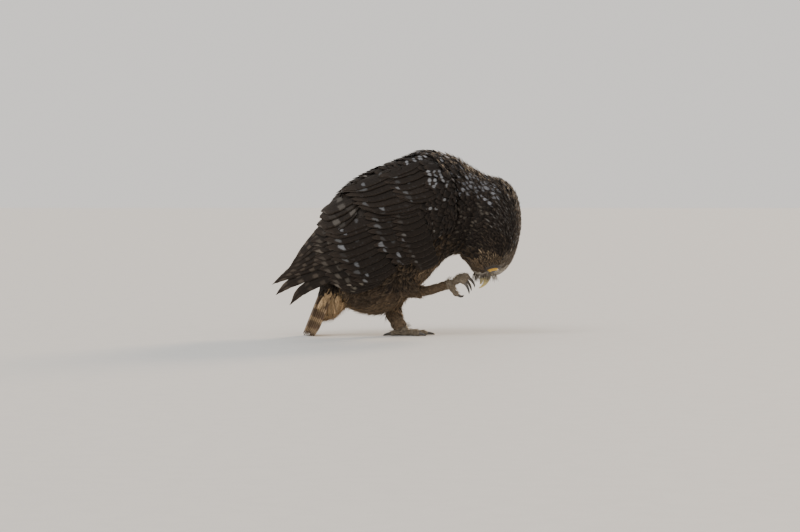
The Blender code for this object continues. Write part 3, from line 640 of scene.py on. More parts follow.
def layVanes(form, roots, shape, settings):
    # walks each feather over the surface from its root, along the lie of the coat
    spots, index = roots
    count, rows, columns = len(spots), shape["rows"], shape["columns"]
    length, width, lift = settings["length"], settings["width"], settings["lift"]
    v = np.linspace(0, 1, rows)
    heading = valueAt(form, "flow", index, spots)
    centres, normals, left, right = [], [], [], []
    profile = np.interp(v, *shape["profile"])
    for r in range(rows):
        normal = unit(valueAt(form, "normals", index, spots))
        if r == 0:
            turn = settings["yaw"][:, None]
            heading = heading * np.cos(turn) + np.cross(normal, heading) * np.sin(turn)
        else:
            heading = heading * 0.75 + valueAt(form, "flow", index, spots) * 0.25
        heading = unit(heading - normal * dot(heading, normal))
        centres.append(spots)
        normals.append(normal)
        if width.max() > 2.5:
            side = np.cross(normal, heading) * (width / 2 * profile[r])[:, None]
            for way, sags in ((1, left), (-1, right)):
                edge = spots + side * way
                sags.append(dot(edge - nearest(form, edge)[0], normal)[:, 0])
        if r < rows - 1:
            spots, index = nearest(form, spots + heading * (length / (rows - 1))[:, None])
    centres, normals = np.stack(centres, 1), np.stack(normals, 1)
    height = 0.15 + np.outer(lift, v ** 1.15) + np.outer(settings["curl"], v ** 3)
    centres = centres + normals * height[..., None]
    way = unit(np.gradient(centres, axis=1))
    up = unit(normals - way * dot(normals, way))
    roll = settings["roll"][:, None, None]
    side = np.cross(up, way)
    side, up = side * np.cos(roll) + up * np.sin(roll), up * np.cos(roll) - side * np.sin(roll)
    u = np.linspace(-1, 1, columns)
    half = width[:, None] / 2 * profile
    ragged = dice.uniform(-1, 0.6, (count, columns)) * shape["jag"]
    ragged -= (np.arange(columns) % 2) * shape["cut"]
    stretch = -shape["round"] * np.abs(u) ** 2.3 * v[:, None] ** 3
    stretch = (stretch[None] + ragged[:, None] * v[None, :, None] ** 4) * length[:, None, None]
    drop = shape["camber"] * half[..., None] * u ** 2
    if left:
        sag = np.where(u > 0, np.stack(left, 1)[..., None], np.stack(right, 1)[..., None])
        drop = drop + np.clip(sag, -1.5, 4.0) * u ** 2
    grid = (centres[:, :, None] + side[:, :, None] * (half[..., None] * u)[..., None]
            + way[:, :, None] * stretch[..., None] - up[:, :, None] * drop[..., None])
    return grid, up, half


# The coat: each entry is a place on the body with the feathers that grow there. In the table are
# the kind of vane; its x, side and z; length, width, spacing and lift; the spot's place across and
# along and its radii; how many vanes show it; how loose they lie; the colours of ground and spot.
# The plumage's own dark browns, made darker still than the bird's mid-brown: in part painted shade of a
# bird lit from behind
dark, umber, earth = (0.0125, 0.0092, 0.0073), (0.018, 0.0128, 0.0094), (0.032, 0.0215, 0.0145)
buff, cream, white = (0.17, 0.115, 0.07), (0.36, 0.275, 0.18), (0.42, 0.435, 0.47)
browWhite = (0.52, 0.48, 0.42)
coatColumns = ("kind", "where", "size", "spot", "chance", "loose", "ground", "mark")
coat = {
    "crown": ("small", (101, 0, 96), (6.5, 3.2, 2.2, 1.3), (0, 0.62, 0.17, 0.28), 0.6, 0.35,
              dark, white),
    "forehead": ("small", (98, 0, 74), (5, 2.5, 1.8, 1.0), (0, 0.62, 0.24, 0.26), 0.6, 0.3,
                 umber, white),
    "crownSide": ("small", (90, 27, 98), (7, 3.4, 2.3, 2.0), (0, 0.6, 0.17, 0.32), 0.6, 0.25,
                  dark, (0.2, 0.19, 0.18)),
    "cheek": ("small", (76, 31, 74), (7, 3.4, 2.2, 2.2), (0, 0.6, 0.22, 0.36), 0.5, 0.35,
              dark, (0.12, 0.09, 0.064)),
    "ear": ("small", (60, 30, 84), (8, 4.4, 2.8, 2.4), (0, 0.65, 0.24, 0.3), 0.45, 0,
            dark, (0.1, 0.084, 0.064)),
    # the throat's ground is darker than its own warm buff: painted shade under the head
    "throat": ("small", (54, 0, 60), (8, 4.4, 2.7, 1.5), (0, 0.6, 0.2, 0.3), 0.3, 0.5,
               (0.15, 0.108, 0.068), earth),
    "crownBack": ("small", (92, 0, 128), (8, 4.2, 2.7, 3.2), (0, 0.62, 0.22, 0.26), 0.5, 0.35,
                  dark, (0.27, 0.28, 0.3)),
    "nape": ("contour", (68, 0, 141), (12, 8, 4.2, 3.2), (0, 0.68, 0.34, 0.2), 0.4, 0.45,
             dark, (0.22, 0.23, 0.26)),
    "napePatch": ("contour", (64, 25, 132), (12, 8, 4.0, 3.0), (0, 0.68, 0.42, 0.22), 0.6, 0.45,
                  dark, (0.23, 0.238, 0.265)),
    "neckSide": ("contour", (56, 33, 106), (11, 7, 3.7, 2.8), (0, 0.7, 0.34, 0.2), 0.35, 0,
                 dark, (0.1, 0.088, 0.074)),
    # the collar's spot is darker than its own buff: painted shade under the head
    "collar": ("contour", (46, 20, 74), (11, 7, 3.8, 2.3), (0, 0.78, 0.7, 0.2), 0.6, 0.3,
               dark, (0.06, 0.043, 0.028)),
    "mantle": ("contour", (20, 6, 158), (16, 11, 5.0, 3.8), (0.42, 0.76, 0.3, 0.13), 0.3, 0,
               dark, (0.27, 0.28, 0.3)),
    "mantleSide": ("contour", (22, 31, 142), (15, 10.5, 4.8, 3.2), (0.4, 0.72, 0.36, 0.13), 0.35, 0,
                   dark, (0.22, 0.228, 0.245)),
    "lowerBack": ("contour", (-28, 5, 143), (17, 12, 5.4, 3.6), (0.4, 0.8, 0.34, 0.1), 0.3, 0,
                  dark, (0.13, 0.12, 0.11)),
    "rump": ("contour", (-62, 5, 113), (17, 12, 5.2, 3.0), (0, 0.78, 0.6, 0.14), 0.5, 0,
             umber, (0.17, 0.145, 0.12)),
    "overTail": ("contour", (-75, 4, 70), (16, 9.5, 4.2, 1.6), (0, 0.74, 0.6, 0.14), 0.6, 0,
                 umber, (0.07, 0.048, 0.03)),
    "shoulder": ("contour", (38, 37, 118), (12, 8, 4.0, 2.8), (0, 0.74, 0.36, 0.15), 0.22, 0,
                 dark, (0.26, 0.265, 0.28)),
    "forewing": ("contour", (22, 43, 96), (11, 8, 3.9, 2.6), (0, 0.74, 0.34, 0.14), 0.22, 0,
                 dark, (0.2, 0.19, 0.18)),
    "wrist": ("contour", (34, 38, 76), (8, 6, 3.0, 2.0), (0, 0.74, 0.4, 0.2), 0.4, 0, dark, buff),
    # the grounds of breast, flank, belly and bellySide are darker than their own cream and buff: painted
    # shade of the underside
    "breast": ("loose", (37, 22, 72), (13, 8, 4.0, 2.2), (0, 0.55, 0.62, 0.45), 1.0, 0.4,
               (0.052, 0.035, 0.022), umber),
    "breastMiddle": ("loose", (28, 0, 59), (13, 8, 4.0, 2.2), (0, 0.55, 0.5, 0.42), 1.0, 0.5,
                     (0.3, 0.21, 0.13), earth),
    "flank": ("loose", (-4, 40, 62), (16, 9, 4.2, 3.0), (0, 0.5, 0.62, 0.55), 1.0, 0.8,
              (0.03, 0.021, 0.0145), dark),
    "belly": ("loose", (-14, 8, 28), (16, 9, 4.2, 2.4), (0, 0.5, 0.42, 0.5), 0.9, 1.0,
              (0.27, 0.19, 0.115), earth),
    "bellySide": ("loose", (-26, 30, 34), (16, 9, 4.2, 2.7), (0, 0.5, 0.55, 0.5), 1.0, 1.0,
                  (0.062, 0.041, 0.026), umber),
    "vent": ("loose", (-52, 10, 27), (18, 7, 3.0, 4.0), (0, 0.5, 0.2, 0.4), 0.12, 1.0,
             (0.62, 0.43, 0.24), earth),
    "underTail": ("loose", (-66, 6, 22), (17, 5.5, 2.4, 2.8), (0, 0.5, 0.16, 0.4), 0.05, 1.0,
                  (0.78, 0.56, 0.33), earth),
    # the thigh, shank and raisedShank grounds are darker than the legs' own whitish buff: painted shade of
    # legs lit from behind, deepest on the raised shank
    "thigh": ("small", (-7, 20, 36), (9, 4.5, 2.5, 1.8), (0, 0.5, 0.3, 0.4), 0.35, 1.0,
              (0.11, 0.075, 0.046), earth),
    "shank": ("small", (-3, 6, 12), (5, 2.4, 1.5, 1.2), (0, 0.5, 0.3, 0.4), 0.3, 0.4,
              (0.16, 0.115, 0.073), buff),
    "raisedShank": ("small", (24, 12, 42), (5, 2.2, 1.4, 0.8), (0, 0.5, 0.3, 0.4), 0.3, 0.6,
                    (0.11, 0.077, 0.048), buff),
}
# small vanes of the face, whose place is forward, up and side in the head's own frame
faceCoat = {
    "brow": ((-1, 12.5, 7.5), (5, 1.5, 1.25, 1.2), (0, 0.6, 0.2, 0.3), 0.3, 0, browWhite, buff),
    # browTail's ground is darker than its own pale colour: painted shade on the side of the face
    "browTail": ((-4, 16.5, 15), (5.5, 1.8, 1.3, 1.2), (0, 0.7, 0.45, 0.36), 0.85, 0,
                 (0.15, 0.126, 0.1), umber),
    "frontMiddle": ((0, 17, 1), (5, 1.9, 1.3, 1.3), (0, 0.62, 0.3, 0.28), 0.7, 0, umber, browWhite),
    "frontSide": ((-3, 22.5, 9), (5, 2.4, 1.5, 1.4), (0, 0.62, 0.26, 0.26), 0.7, 0, umber, browWhite),
    "lore": ((0, 4, 5.5), (4.5, 1.0, 0.95, 1.3), (0, 0.6, 0.2, 0.3), 0.2, 0, browWhite, buff),
    "chin": ((-2, -8, 3), (5, 1.6, 1.2, 1.5), (0, 0.6, 0.2, 0.3), 0.2, 0, browWhite, buff),
    "eyeRing": ((-3, 6.5, 13.5), (3.4, 1.1, 0.95, 0.8), (0, 0.6, 0.3, 0.4), 0.4, 0, umber, buff),
    # the grounds of discSide and discLow are darker than their own buff: painted shade on the side of the
    # face
    "discSide": ((-6, 6, 25), (5.5, 1.7, 1.3, 1.3), (0, 0.6, 0.45, 0.34), 0.75, 0,
                 (0.07, 0.05, 0.032), umber),
    "discLow": ((-5, -6, 15), (5.5, 1.7, 1.3, 1.4), (0, 0.6, 0.4, 0.32), 0.6, 0,
                (0.125, 0.086, 0.053), umber),
    "discRim": ((-11, 4, 28), (6, 2.2, 1.5, 1.5), (0, 0.65, 0.3, 0.25), 0.5, 0, dark, cream),
}
for name, (place, *others) in faceCoat.items():
    coat[name] = ("small", tuple(headPoint(*place)), *others)
coat = {name: dict(zip(coatColumns, row)) for name, row in coat.items()}


growth = {
    "reach": 2.2, "leastReach": 3.0, "blend": 0.05,  # how far a place's feathers keep to themselves
    "crowding": {"small": 0.68, "contour": 0.76, "loose": 0.76},  # spacing of each kind of vane
    "underWing": 9, "strandsUnderWing": 14,  # nothing grows this near below a wing
    # nothing grows at the eye, the bill, the toes and the fold over the tail
    "clearOfEye": 8.0, "billBack": -4, "billSide": 4.6, "billLow": -5, "billHigh": 5.4,
    "toesHigh": 5.0, "tailFold": -4.5, "tailFoldHigh": 48.0,
    # and nothing from under the tail comes out on its upper side
    "tailSide": -0.5, "tailSlope": 0.3, "tailHigh": 30.0,
    "strandSpacing": 0.78, "strandLoose": 0.22, "strandWidth": (0.35, 0.85),
    "mostTriangles": 195000,  # in one piece, before the next one starts
}


def sampleRoots(form, spacing, seed, tries):
    # random roots, no two nearer than the spacing of the coat there
    rolls = np.random.default_rng(seed)
    corners = form["points"][form["faces"]]
    first, second = corners[:, 2] - corners[:, 0], corners[:, 3] - corners[:, 1]
    area = 0.5 * np.linalg.norm(np.cross(first, second), axis=1)
    local = spacing[form["faces"]].mean(1)
    weight = area / local ** 2
    pick = rolls.choice(len(area), int(weight.sum() * tries), p=weight / weight.sum())
    mix = rolls.dirichlet((1, 1, 1, 1), len(pick))[..., None]
    spots = (corners[pick] * mix).sum(1)
    cell = local.max()
    kept, cells = [], {}
    for k, (spot, reach) in enumerate(zip(spots.tolist(), local[pick].tolist())):
        key = tuple(int(c // cell) for c in spot)
        near = [other for i in (-1, 0, 1) for j in (-1, 0, 1) for h in (-1, 0, 1)
                for other in cells.get((key[0] + i, key[1] + j, key[2] + h), ())]
        if all((spot[0] - o[0]) ** 2 + (spot[1] - o[1]) ** 2 + (spot[2] - o[2]) ** 2 > reach * reach
               for o in near):
            cells.setdefault(key, []).append(spot)
            kept.append(k)
    return spots[kept], pick[kept]


def stationWeights(spots):
    where = np.array([look["where"] for look in coat.values()], float)
    folded = spots * np.array((1, 0, 1)) + np.abs(spots * np.array((0, 1, 0)))
    gap = np.linalg.norm(folded[:, None] - where[None], axis=2)
    near = np.array([max(look["size"][2] * growth["reach"], growth["leastReach"])
                     for look in coat.values()])
    weight = 1 / ((gap / near) ** 4 + growth["blend"])
    return weight / weight.sum(1, keepdims=True)


# Wings: tiers of vanes on a surface that follows the flank and goes on to the wing's tip.
# Roots and tips are lines seen from the side; height is above that surface, at root and tip.
covertWidths = ((0, 0.25, 0.6, 0.85, 1), (0.5, 0.9, 1, 0.85, 0.5))  # along the vane, and how wide
wing = {
    "thick": 0.42, "tilt": 9, "rows": 22, "columns": 9, "rootStep": 0.15,
    "dropSpan": {"covert": (0.66, 0.86), "flight": (0.6, 0.93)},  # where along a vane a drop may lie
    "farTips": (0.6, -0.3),  # how the left wing's longest tips differ from the right's
    "tiers": {
        "primary": dict(
            count=8, roots=((-57.5, 104), (-49, 88), (-43, 75), (-37, 65.5)),
            tips=((-93.6, 63.0), (-96.6, 59.0), (-99.6, 55.0), (-103.0, 50.9),
                  (-107.7, 47.0), (-112.6, 42.4), (-109.8, 34.4), (-98.5, 27.2)),
            width=10, height=(1.6, 1.3), round=0.06, jag=0.012, bow=-0.0675,
            profile=((0, 0.3, 0.6, 0.82, 0.93, 1), (0.45, 0.98, 0.98, 0.76, 0.5, 0.1)),
            bars=(5.5, 0.35), mark=(0.075, 0.06, 0.047), strength=(0.1, 0.85)),
        "secondary": dict(
            count=9, roots=((-28, 57), (-40, 80), (-44.5, 103)),
            tips=((-63.5, 46.5), (-75, 62), (-80, 79.5)),
            width=13, height=(2.8, 2.6), round=0.14, jag=0.015,
            profile=((0, 0.3, 0.65, 0.88, 1), (0.45, 0.95, 1, 0.8, 0.25)),
            bars=(3.6, 0.12), mark=(0.085, 0.074, 0.062), strength=(0.1, 0.9)),
        "tertial": dict(
            count=4, roots=((-40, 106), (-32, 124)), tips=((-76.2, 87), (-69.8, 104.4)),
            width=15, height=(3.6, 3.8), round=0.13, jag=0.02,
            profile=((0, 0.3, 0.65, 0.88, 1), (0.45, 0.95, 1, 0.92, 0.5)),
            bars=(2.6, 0.2), mark=(0.062, 0.056, 0.05), strength=(0.1, 0.7)),
        "primaryCovert": dict(
            count=4, roots=((-12, 58), (-20, 50.5)), tips=((-46, 51), (-56, 41)),
            width=9, height=(2.9, 3.5), round=0.2, jag=0.02,
            profile=((0, 0.3, 0.7, 0.9, 1), (0.5, 0.95, 0.95, 0.7, 0.3)),
            spot=(-0.4, 0.74, 0.36, 0.06), mark=(0.17, 0.15, 0.12), strength=(-0.4, 0.9)),
        "greaterCovert": dict(
            count=10, roots=((-8, 62), (-18, 82), (-22, 102)), tips=((-44, 51), (-63, 68), (-68, 89)),
            width=10.6, height=(3.8, 4.7), round=0.24, jag=0.02,
            profile=((0, 0.25, 0.6, 0.85, 1), (0.5, 0.9, 1, 0.85, 0.45)),
            spot=(-0.42, 0.8, 0.4, 0.055), mark=(0.15, 0.155, 0.162), strength=(-0.1, 0.95)),
        "medianCovert": dict(
            count=10, roots=((14, 76), (8, 92), (2, 110)), tips=((-9, 65), (-28, 82), (-34, 102)),
            width=9.6, height=(4.2, 5.3), round=0.26, jag=0.025,
            profile=covertWidths,
            spot=(-0.4, 0.8, 0.4, 0.06), mark=(0.15, 0.155, 0.162), strength=(-0.1, 0.9)),
        "lesserCovert": dict(
            count=12, roots=((28, 70), (22, 90), (14, 112)), tips=((8, 63), (-6, 82), (-12, 104)),
            width=8, height=(4.7, 5.7), round=0.28, jag=0.03,
            profile=covertWidths,
            spot=(-0.3, 0.8, 0.36, 0.075), mark=(0.13, 0.125, 0.12), strength=(-0.1, 0.9)),
        "scapular": dict(
            count=7, roots=((16, 114), (-2, 141)), tips=((-36, 106), (-53, 118)),
            width=11.5, height=(4.9, 6.5), round=0.26, jag=0.03,
            profile=covertWidths,
            spot=(-0.44, 0.74, 0.38, 0.065), mark=(0.12, 0.125, 0.132), strength=(-0.4, 0.9)),
        "innerScapular": dict(
            count=7, roots=((30, 122), (16, 146)), tips=((-4, 116), (-22, 132)),
            width=10, height=(4.6, 6.0), round=0.28, jag=0.035,
            profile=covertWidths,
            spot=(-0.42, 0.74, 0.38, 0.07), mark=(0.12, 0.125, 0.132), strength=(-0.4, 0.9)),
    },
    # how a pale drop shows on a covert, and how it brightens a bar of a flight feather
    "dropLook": {"dim": 0.55, "across": -0.22, "wide": 0.56, "long": 0.043,
                 "gain": 0.7, "strength": 0.9, "phase": 0.25},
    # the pale drops of each wing: x, z, size and brightness
    "drops": ((-65, 82, 0.9, 0.8), (-55.5, 79.5, 1.2, 0.8), (-75, 71.5, 1.3, 1.1), (-30.5, 78, 1.5, 0.7),
              (-6.5, 76.5, 1.1, 0.7), (27, 137.5, 1.3, 1.0), (21, 111, 1.3, 0.6), (-28, 61.5, 0.9, 0.6),
              (-38.5, 64.5, 0.9, 0.5), (-57, 49.5, 1.0, 0.8), (-67, 45.5, 1.0, 0.9), (-64, 99, 1.0, 0.4),
              (-59.5, 101.5, 0.8, 0.3), (-58.5, 117, 1.0, 0.4), (-34.5, 110.5, 1.3, 0.6),
              (-43.5, 105.5, 0.8, 0.4), (-16.5, 115.5, 1.0, 0.6), (-11.5, 120.5, 0.9, 0.6),
              (-49, 88, 0.9, 0.8), (-55, 90, 0.8, 0.6), (-41.5, 89, 0.8, 0.6), (-5, 85.5, 0.8, 0.5),
              (-20.5, 68.5, 0.8, 0.6), (-59.5, 56.5, 0.8, 0.6), (-34, 136, 0.7, 0.5), (4, 112, 0.9, 0.5)),
}


def locate(points):
    # where points seen from the side lie on the wing's surface, as slice and angle
    def measure(place):
        row = between(wingRows, place)
        away = points - (row[:, 0:2] + row[:, 2:4]) / 2
        half = (row[:, 0:2] - row[:, 2:4]) / 2
        past = away[:, 0] * half[:, 1] - away[:, 1] * half[:, 0]
        return past, (away * half).sum(1) / (half * half).sum(1)

    low = np.full(len(points), np.nan)
    for place in np.arange(-0.6, 10, 0.2):
        here, up = measure(np.full(len(points), place))
        after = measure(np.full(len(points), place + 0.2))[0]
        low = np.where(np.isnan(low) & (here > 0) & (after < 0) & (np.abs(up) < 1.3), place, low)
    high = low + 0.2
    for _ in range(24):
        middle = (low + high) / 2
        further = measure(middle)[0] > 0
        low, high = np.where(further, middle, low), np.where(further, high, middle)
    up = np.clip(measure(low)[1], -0.97, 0.97)
    return low, np.arcsin(np.sign(up) * np.abs(up) ** (between(wingRows, low)[:, 5] / 2))


def wingPaths(tier, side, rolls):
    # slice and angle along the middle of each vane of a tier, from its root to its tip
    count, primary = tier["count"], tier is wing["tiers"]["primary"]
    share = np.linspace(0, 1, count)
    roots = between(tier["roots"], share * (len(tier["roots"]) - 1))
    tips = between(tier["tips"], share * (len(tier["tips"]) - 1))
    if primary and side > 0:
        tips = tips + np.array(wing["farTips"]) * share[:, None]
    if not primary:
        tips = tips + rolls.normal(0, 0.7, tips.shape)
    steps = np.linspace(0, 1, 8)
    path = roots[:, None] + (tips - roots)[:, None] * steps[None, :, None]
    sway = tier["bow"] * share[:, None] ** 1.6 if "bow" in tier else 0.03
    bow = np.stack((-(tips - roots)[:, 1], (tips - roots)[:, 0]), axis=-1) * sway
    bend = steps ** 2 * (1 - steps) * 6.75 if primary else 4 * steps * (1 - steps)
    path = path + bow[:, None] * bend[None, :, None]
    rows = np.linspace(0, 7, wing["rows"])
    return [between(values.reshape(count, 8).T, rows).T for values in locate(path.reshape(-1, 2))]


def wingLooks(tier, length, rolls):
    # colours and marks of the vanes of a tier
    count = tier["count"]
    tone = rolls.normal(1.0, 0.1, (count, 1))
    looks = {"length": length, "own": rolls.uniform(0, 60, count)}
    strength = np.clip(rolls.uniform(*tier["strength"], count), 0, 1)
    ground = np.array(tier.get("ground", umber)) * 0.8
    looks["ground"] = opaque(ground * tone)
    looks["mark"] = np.hstack((np.tile(tier["mark"], (count, 1)) * tone, strength[:, None]))
    if "bars" in tier:
        jitter = rolls.uniform(-0.08, 0.08, count)
        looks["spotPlace"] = np.stack((tier["bars"][1] + jitter, 0 * jitter, 0 * jitter), -1)
        looks["spotSize"] = np.tile((tier["bars"][0], 1, 1), (count, 1)).astype(float)
    else:
        looks["spotPlace"] = np.tile((*tier["spot"][:2], 0), (count, 1)).astype(float)
        looks["spotSize"] = np.tile((*tier["spot"][2:], 1), (count, 1)).astype(float)
        looks["spotSize"][:, :2] *= rolls.uniform(0.75, 1.25, (count, 2))
    return looks


def wingVanes(tier, side, rolls):
    count, rows, columns = tier["count"], wing["rows"], wing["columns"]
    place, angle = wingPaths(tier, side, rolls)
    v = np.linspace(0, 1, rows)
    here = wingPoint(place, angle, 0, side)
    byPlace = (wingPoint(place + 0.02, angle, 0, side) - here) / 0.02
    byAngle = (wingPoint(place, angle + 0.02, 0, side) - here) / 0.02
    up = unit(np.cross(byPlace, byAngle))
    up = up * np.sign(up[..., 1:2] * side)
    way = unit(np.gradient(here, axis=1))
    across = unit(np.cross(up, way))
    across = across * np.where(across[..., 2:3] < 0, -1.0, 1.0)
    solve = np.linalg.pinv(np.stack((byPlace, byAngle), axis=-1))
    u = np.linspace(-1, 1, columns)
    half = tier["width"] / 2 * np.interp(v, *tier["profile"])
    half = half[None] * (1 + rolls.normal(0, 0.02, (count, rows)))
    length = np.linalg.norm(np.diff(here, axis=1), axis=2).sum(1)
    ragged = rolls.uniform(-1, 0.5, (count, columns)) * tier["jag"]
    stretch = -tier["round"] * np.abs(u) ** 2.2 * v[:, None] ** 3
    stretch = (stretch[None] + ragged[:, None] * v[None, :, None] ** 4) * length[:, None, None]
    reach = half[..., None] * u
    move = across[:, :, None] * reach[..., None] + way[:, :, None] * stretch[..., None]
    step = np.einsum("crij,crkj->crki", solve, move)
    height = tier["height"][0] + (tier["height"][1] - tier["height"][0]) * v
    fanned = (count - 1 - np.arange(count)) * wing["rootStep"] * (tier is wing["tiers"]["primary"])
    lift = height[None] + fanned[:, None] * (1 - v)
    lift = lift[..., None] - reach * math.tan(math.radians(wing["tilt"])) + wing["thick"]
    lift = lift + 0.12 * np.exp(-(u / 0.12) ** 2) - 0.12 * np.abs(u) ** 3
    grid = wingPoint(place[..., None] + step[..., 0], angle[..., None] + step[..., 1], lift, side)
    if side < 0:  # keeps the blade's upper face outwards
        grid = grid[:, :, ::-1]
    cross = np.broadcast_to(u if side > 0 else u[::-1], grid.shape[:3])
    along = np.broadcast_to(v[:, None], grid.shape[:3])
    return dict(grid=grid, up=up, half=half, share=(cross, along), middle=here,
                looks=wingLooks(tier, length, rolls))


def gather(parts):
    # several sets of vanes with equal grids as one
    whole = {key: np.concatenate([part[key] for part in parts]) for key in ("grid", "up", "half")}
    whole["share"] = tuple(np.concatenate([part["share"][k] for part in parts]) for k in (0, 1))
    whole["looks"] = {key: np.concatenate([part["looks"][key] for part in parts])
                      for key in parts[0]["looks"]}
    return whole


def chart(count):
    # one square of the bake map for each large vane
    wide = math.ceil(math.sqrt(count))
    k = np.arange(count)
    root = np.stack(((k % wide + 0.5) / wide, (k // wide + 0.05) / wide), axis=-1)
    return {"root": root, "wide": 0.85 / wide, "long": 0.9 / wide}


def makeWing(side, word):
    rolls = np.random.default_rng(31)
    sets = {name: wingVanes(tier, side, rolls) for name, tier in wing["tiers"].items()}
    spotted = [name for name, tier in wing["tiers"].items() if "spot" in tier]
    along = np.linspace(0, 1, wing["rows"])
    drop = wing["dropLook"]
    for x, z, size, bright in wing["drops"]:
        gap = {}
        for name in spotted + ["secondary", "tertial"]:
            low, high = wing["dropSpan"]["covert" if name in spotted else "flight"]
            for r in np.flatnonzero((along >= low) & (along <= high)):
                for k, spot in enumerate(sets[name]["middle"][:, r]):
                    gap[name, k, r] = np.hypot(spot[0] - x, spot[2] - z)
        name, k, r = min(gap, key=gap.get)
        looks = sets[name]["looks"]
        if name in spotted:
            looks["mark"][k] = (*(tone * bright * drop["dim"] for tone in white), 1.0)
            looks["spotPlace"][k, :2] = (drop["across"], along[r])
            looks["spotSize"][k, :2] = (drop["wide"] * size, drop["long"] * size)
        else:  # one of its bars is moved to the drop
            looks["mark"][k, :3] *= 1 + drop["gain"] * bright
            looks["mark"][k, 3] = drop["strength"]
            looks["spotPlace"][k, 0] = drop["phase"] - along[r] * wing["tiers"][name]["bars"][0]
    made = []
    for label, names, finish in (
            ("flightFeathers", [n for n in sets if n not in spotted], "flight"),
            ("wingCoverts", spotted, "dark")):
        whole = gather([sets[name] for name in names])
        piece = weave(f"{label}_{word}", featherMaterials[finish], whole["grid"], whole["up"],
                      whole["half"], whole["share"], whole["looks"], chart(len(whole["half"])),
                      wing["thick"])
        made.append(piece)
    settle(made[0], "flight_feathers", f"wing_{word}")
    settle(made[1], "brown_plumage")
    return made


print("wings")
wingPieces = makeWing(1, "left") + makeWing(-1, "right")

# Tail: twelve feathers in a closed fan that reach down to the floor
tail = {
    "root": np.array((-64.5, 0.0, 54.0)), "tip": np.array((-85.5, 0.0, 0.0)), "pairs": 5,
    "spread": 2.5, "step": 1.4, "droop": (0.2, 0.035), "width": 12.5, "thick": 0.5,
    "rows": 24, "columns": 9,
    "profile": ((0, 0.3, 0.65, 0.88, 1), (0.45, 0.95, 1, 0.92, 0.66)), "round": 0.07, "jag": 0.03,
    "ground": (0.14, 0.09, 0.053), "mark": (0.37, 0.255, 0.145), "bars": (5.2, 0.3),
}


def makeTail():
    rolls = np.random.default_rng(5)
    rows, columns = tail["rows"], tail["columns"]
    way = unit(tail["tip"] - tail["root"])
    over = np.array((way[2], 0.0, -way[0]))
    over = over * -np.sign(over[0])
    plan = []
    for level, shift in ((1, 1.0), (0, -1.0)):
        lift = over * tail["step"] * level + leftward * shift
        plan.append((tail["root"] + lift * 0.8, tail["tip"] + lift, 0))
    for pair in range(1, tail["pairs"] + 1):
        for side in (-1, 1):
            drop = -over * tail["step"] * pair
            root = tail["root"] + drop + way * pair + leftward * side * (1.5 + pair)
            tip = tail["tip"] + drop + leftward * side * (1.0 + tail["spread"] * pair) - way * 0.5 * pair
            plan.append((root, tip, side))
    u, v = np.linspace(-1, 1, columns), np.linspace(0, 1, rows)
    half = tail["width"] / 2 * np.interp(v, *tail["profile"])
    grids = []
    for root, tip, side in plan:
        ragged = rolls.uniform(-1, 0.6, columns) * tail["jag"]
        length = np.linalg.norm(tip - root)
        stretch = (-tail["round"] * np.abs(u) ** 2.2 * v[:, None] ** 3 + ragged * v[:, None] ** 5) * length
        centre = root + (tip - root) * v[:, None]
        across = np.broadcast_to(half[:, None] * u, (rows, columns)).copy()
        if side:
            inner = 0.3 - centre[:, 1] * side
            across = np.maximum(across * side, inner[:, None]) * side
        pair = abs(root[1]) - 1.5 if side else 0.0
        droop = -(tail["droop"][0] + tail["droop"][1] * pair) * np.abs(across) ** 1.25
        droop = droop + 0.1 * np.exp(-(u / 0.12) ** 2)
        spot = centre[:, None] + leftward * across[..., None] + way * stretch[..., None]
        spot = spot + over * (droop + tail["thick"])[..., None]
        spot[..., 2] = np.maximum(spot[..., 2], 0.05)
        grids.append(spot)
    grid, count = np.stack(grids), len(grids)
    up = np.broadcast_to(over, (count, rows, 3)).copy()
    tone = rolls.normal(1.0, 0.06, (count, 1))
    phase = tail["bars"][1] + rolls.uniform(-0.04, 0.04, count)
    looks = {
        "length": np.full(count, 58.0), "own": rolls.uniform(0, 60, count),
        "ground": opaque(np.array(tail["ground"]) * tone),
        "mark": opaque(np.array(tail["mark"]) * tone),
        "spotPlace": np.stack((phase, 0 * phase, 0 * phase), -1),
        "spotSize": np.tile((tail["bars"][0], 1, 1), (count, 1)).astype(float),
    }
    piece = weave("tailFeathers", featherMaterials["flight"], grid[:, :, ::-1], up,
                  np.tile(half, (count, 1)), shares(count, rows, columns, False), looks,
                  chart(count), tail["thick"] * 0.9)
    settle(piece, "flight_feathers", "tail")


print("tail")
makeTail()

# Growing the coat
pieceOf = {}
for label, names in {
    "crownCoat": "crown crownBack forehead crownSide cheek ear",
    "faceCoat": "brow browTail frontMiddle frontSide lore chin eyeRing discSide discLow discRim throat",
    "neckCoat": "nape napePatch neckSide collar",
    "backCoat": "mantle mantleSide lowerBack rump overTail shoulder",
    "forewingCoat": "forewing wrist",
    "breastCoat": "breast breastMiddle",
    "bellyCoat": "flank belly bellySide vent underTail",
    "legCoat": "thigh shank raisedShank",
}.items():
    pieceOf.update({name: label for name in names.split()})
darkPieces = ("crownCoat", "neckCoat", "backCoat", "forewingCoat")
stations = list(coat)
sizes = np.array([coat[name]["size"] for name in stations])
sizes[:, 2] *= [growth["crowding"][coat[name]["kind"]] for name in stations]
skin["weights"] = stationWeights(skin["points"])
for part, name in ((2, "shank"), (4, "raisedShank")):  # the legs keep to their own short feathers
    skin["weights"][partOf == part] = np.eye(len(stations))[stations.index(name)]
skin["weights"] = smoothed(skin, skin["weights"], 10)
grounds = np.array([coat[name]["ground"] for name in stations])
marks = np.array([coat[name]["mark"] for name in stations])
looseness = np.array([coat[name]["loose"] for name in stations], float)
wingTrees = [BVHTree.FromPolygons([tuple(v.co) for v in piece.data.vertices],
                                  [tuple(f.vertices) for f in piece.data.polygons])
             for piece in wingPieces]


def covered(spots, normals, reach):
    # whether a wing lies over each spot, no further off than the reach
    found = []
    for spot, normal in zip((spots * mm).tolist(), normals.tolist()):
        found.append(any(tree.ray_cast(spot, normal, reach * mm)[0] is not None for tree in wingTrees))
    return np.array(found)


